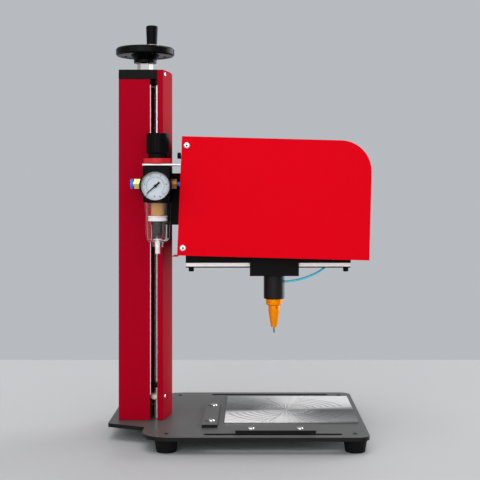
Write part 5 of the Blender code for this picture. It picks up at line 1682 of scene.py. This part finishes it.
@dataclass
class Studio:
    """Camera, soft light and the pale room."""

    camera_place: Point = (0.0185, -1.443, 0.3184)
    lens: float = 78.75
    sensor: float = 36.0
    shift: Point2 = (-13 / 480, -43 / 480)
    floor_colour: Colour = (0.53, 0.545, 0.56)
    floor_roughness: float = 0.6
    floor_specular: float = 0.2
    floor_edge: float = 0.609
    floor_reach: float = 6.0
    wall_colour: Colour = (0.474, 0.497, 0.527)
    room_light: float = 0.5
    suns: tuple[SoftSun, ...] = (
        SoftSun("key", (-1.0, -1.7, 0.45), 54.0, 0.7),
        SoftSun("front", (0.1, -2.0, 0.3), 56.0, 1.15),
        SoftSun("side", (1.5, 1.0, 0.35), 45.0, 2.0),
        SoftSun("top", (-0.2, -0.5, 2.0), 40.0, 0.7),
        SoftSun("back", (0.4, 1.2, 1.8), 30.0, 0.45),
    )

    def build(self) -> None:
        """Build the room, the lights and the camera."""
        self.build_floor()
        self.build_world()
        for sun in self.suns:
            sun.build()
        self.build_camera()
        bpy.context.scene.view_settings.view_transform = "Standard"

    def build_floor(self) -> None:
        """Build the floor, which ends behind the machine where the wall begins."""
        bm = bmesh.new()
        bmesh.ops.create_grid(bm, x_segments=1, y_segments=1, size=self.floor_reach)
        move(bm, Matrix.Translation((0.0, self.floor_edge - self.floor_reach, 0.0)))
        mesh = bpy.data.meshes.new("floor")
        bm.to_mesh(mesh)
        bm.free()
        material = bpy.data.materials.new("floor")
        material.use_nodes = True
        shader = material.node_tree.nodes["Principled BSDF"]
        shader.inputs["Base Color"].default_value = (*self.floor_colour, 1.0)
        shader.inputs["Roughness"].default_value = self.floor_roughness
        shader.inputs["Specular IOR Level"].default_value = self.floor_specular
        mesh.materials.append(material)
        floor = linked("floor", mesh)

    def build_world(self) -> None:
        """Give the room its even light, and show the plain wall colour where the room itself is seen."""
        world = bpy.data.worlds.new("room")
        bpy.context.scene.world = world
        world.use_nodes = True
        world.node_tree.nodes.clear()
        bench = NodeBench(world.node_tree)
        path = bench.add("ShaderNodeLightPath").outputs
        seen = bench.maths("MAXIMUM", path["Is Camera Ray"], path["Is Glossy Ray"])
        seen = bench.maths("MAXIMUM", seen, path["Is Transmission Ray"])
        light = bench.fill(bench.add("ShaderNodeBackground"), (1.0, 1.0, 1.0, 1.0), self.room_light)
        wall = bench.fill(bench.add("ShaderNodeBackground"), (*self.wall_colour, 1.0))
        mix = bench.fill(bench.add("ShaderNodeMixShader"), seen, light.outputs[0], wall.outputs[0])
        bench.join(mix.outputs[0], bench.add("ShaderNodeOutputWorld").inputs["Surface"])

    def build_camera(self) -> None:
        """Place the photograph's camera."""
        data = bpy.data.cameras.new("camera")
        data.lens = self.lens
        data.sensor_width = self.sensor
        data.shift_x, data.shift_y = self.shift
        camera = linked("camera", data)
        camera.location = self.camera_place
        camera.rotation_euler = (math.pi / 2, 0.0, 0.0)
        bpy.context.scene.camera = camera


def main() -> None:
    """Build every assembly in order, and log each one."""
    logging.basicConfig(level=logging.INFO, format="%(levelname)s %(name)s %(message)s")
    for assembly in (
        BaseAssembly(), ColumnAssembly(), HandwheelAssembly(), HeadAssembly(), RegulatorAssembly(),
        GantryAssembly(), PinAssembly(), Studio(),
    ):
        assembly.build()
        LOG.info("%s built", type(assembly).__name__)


if __name__ == "__main__":
    main()
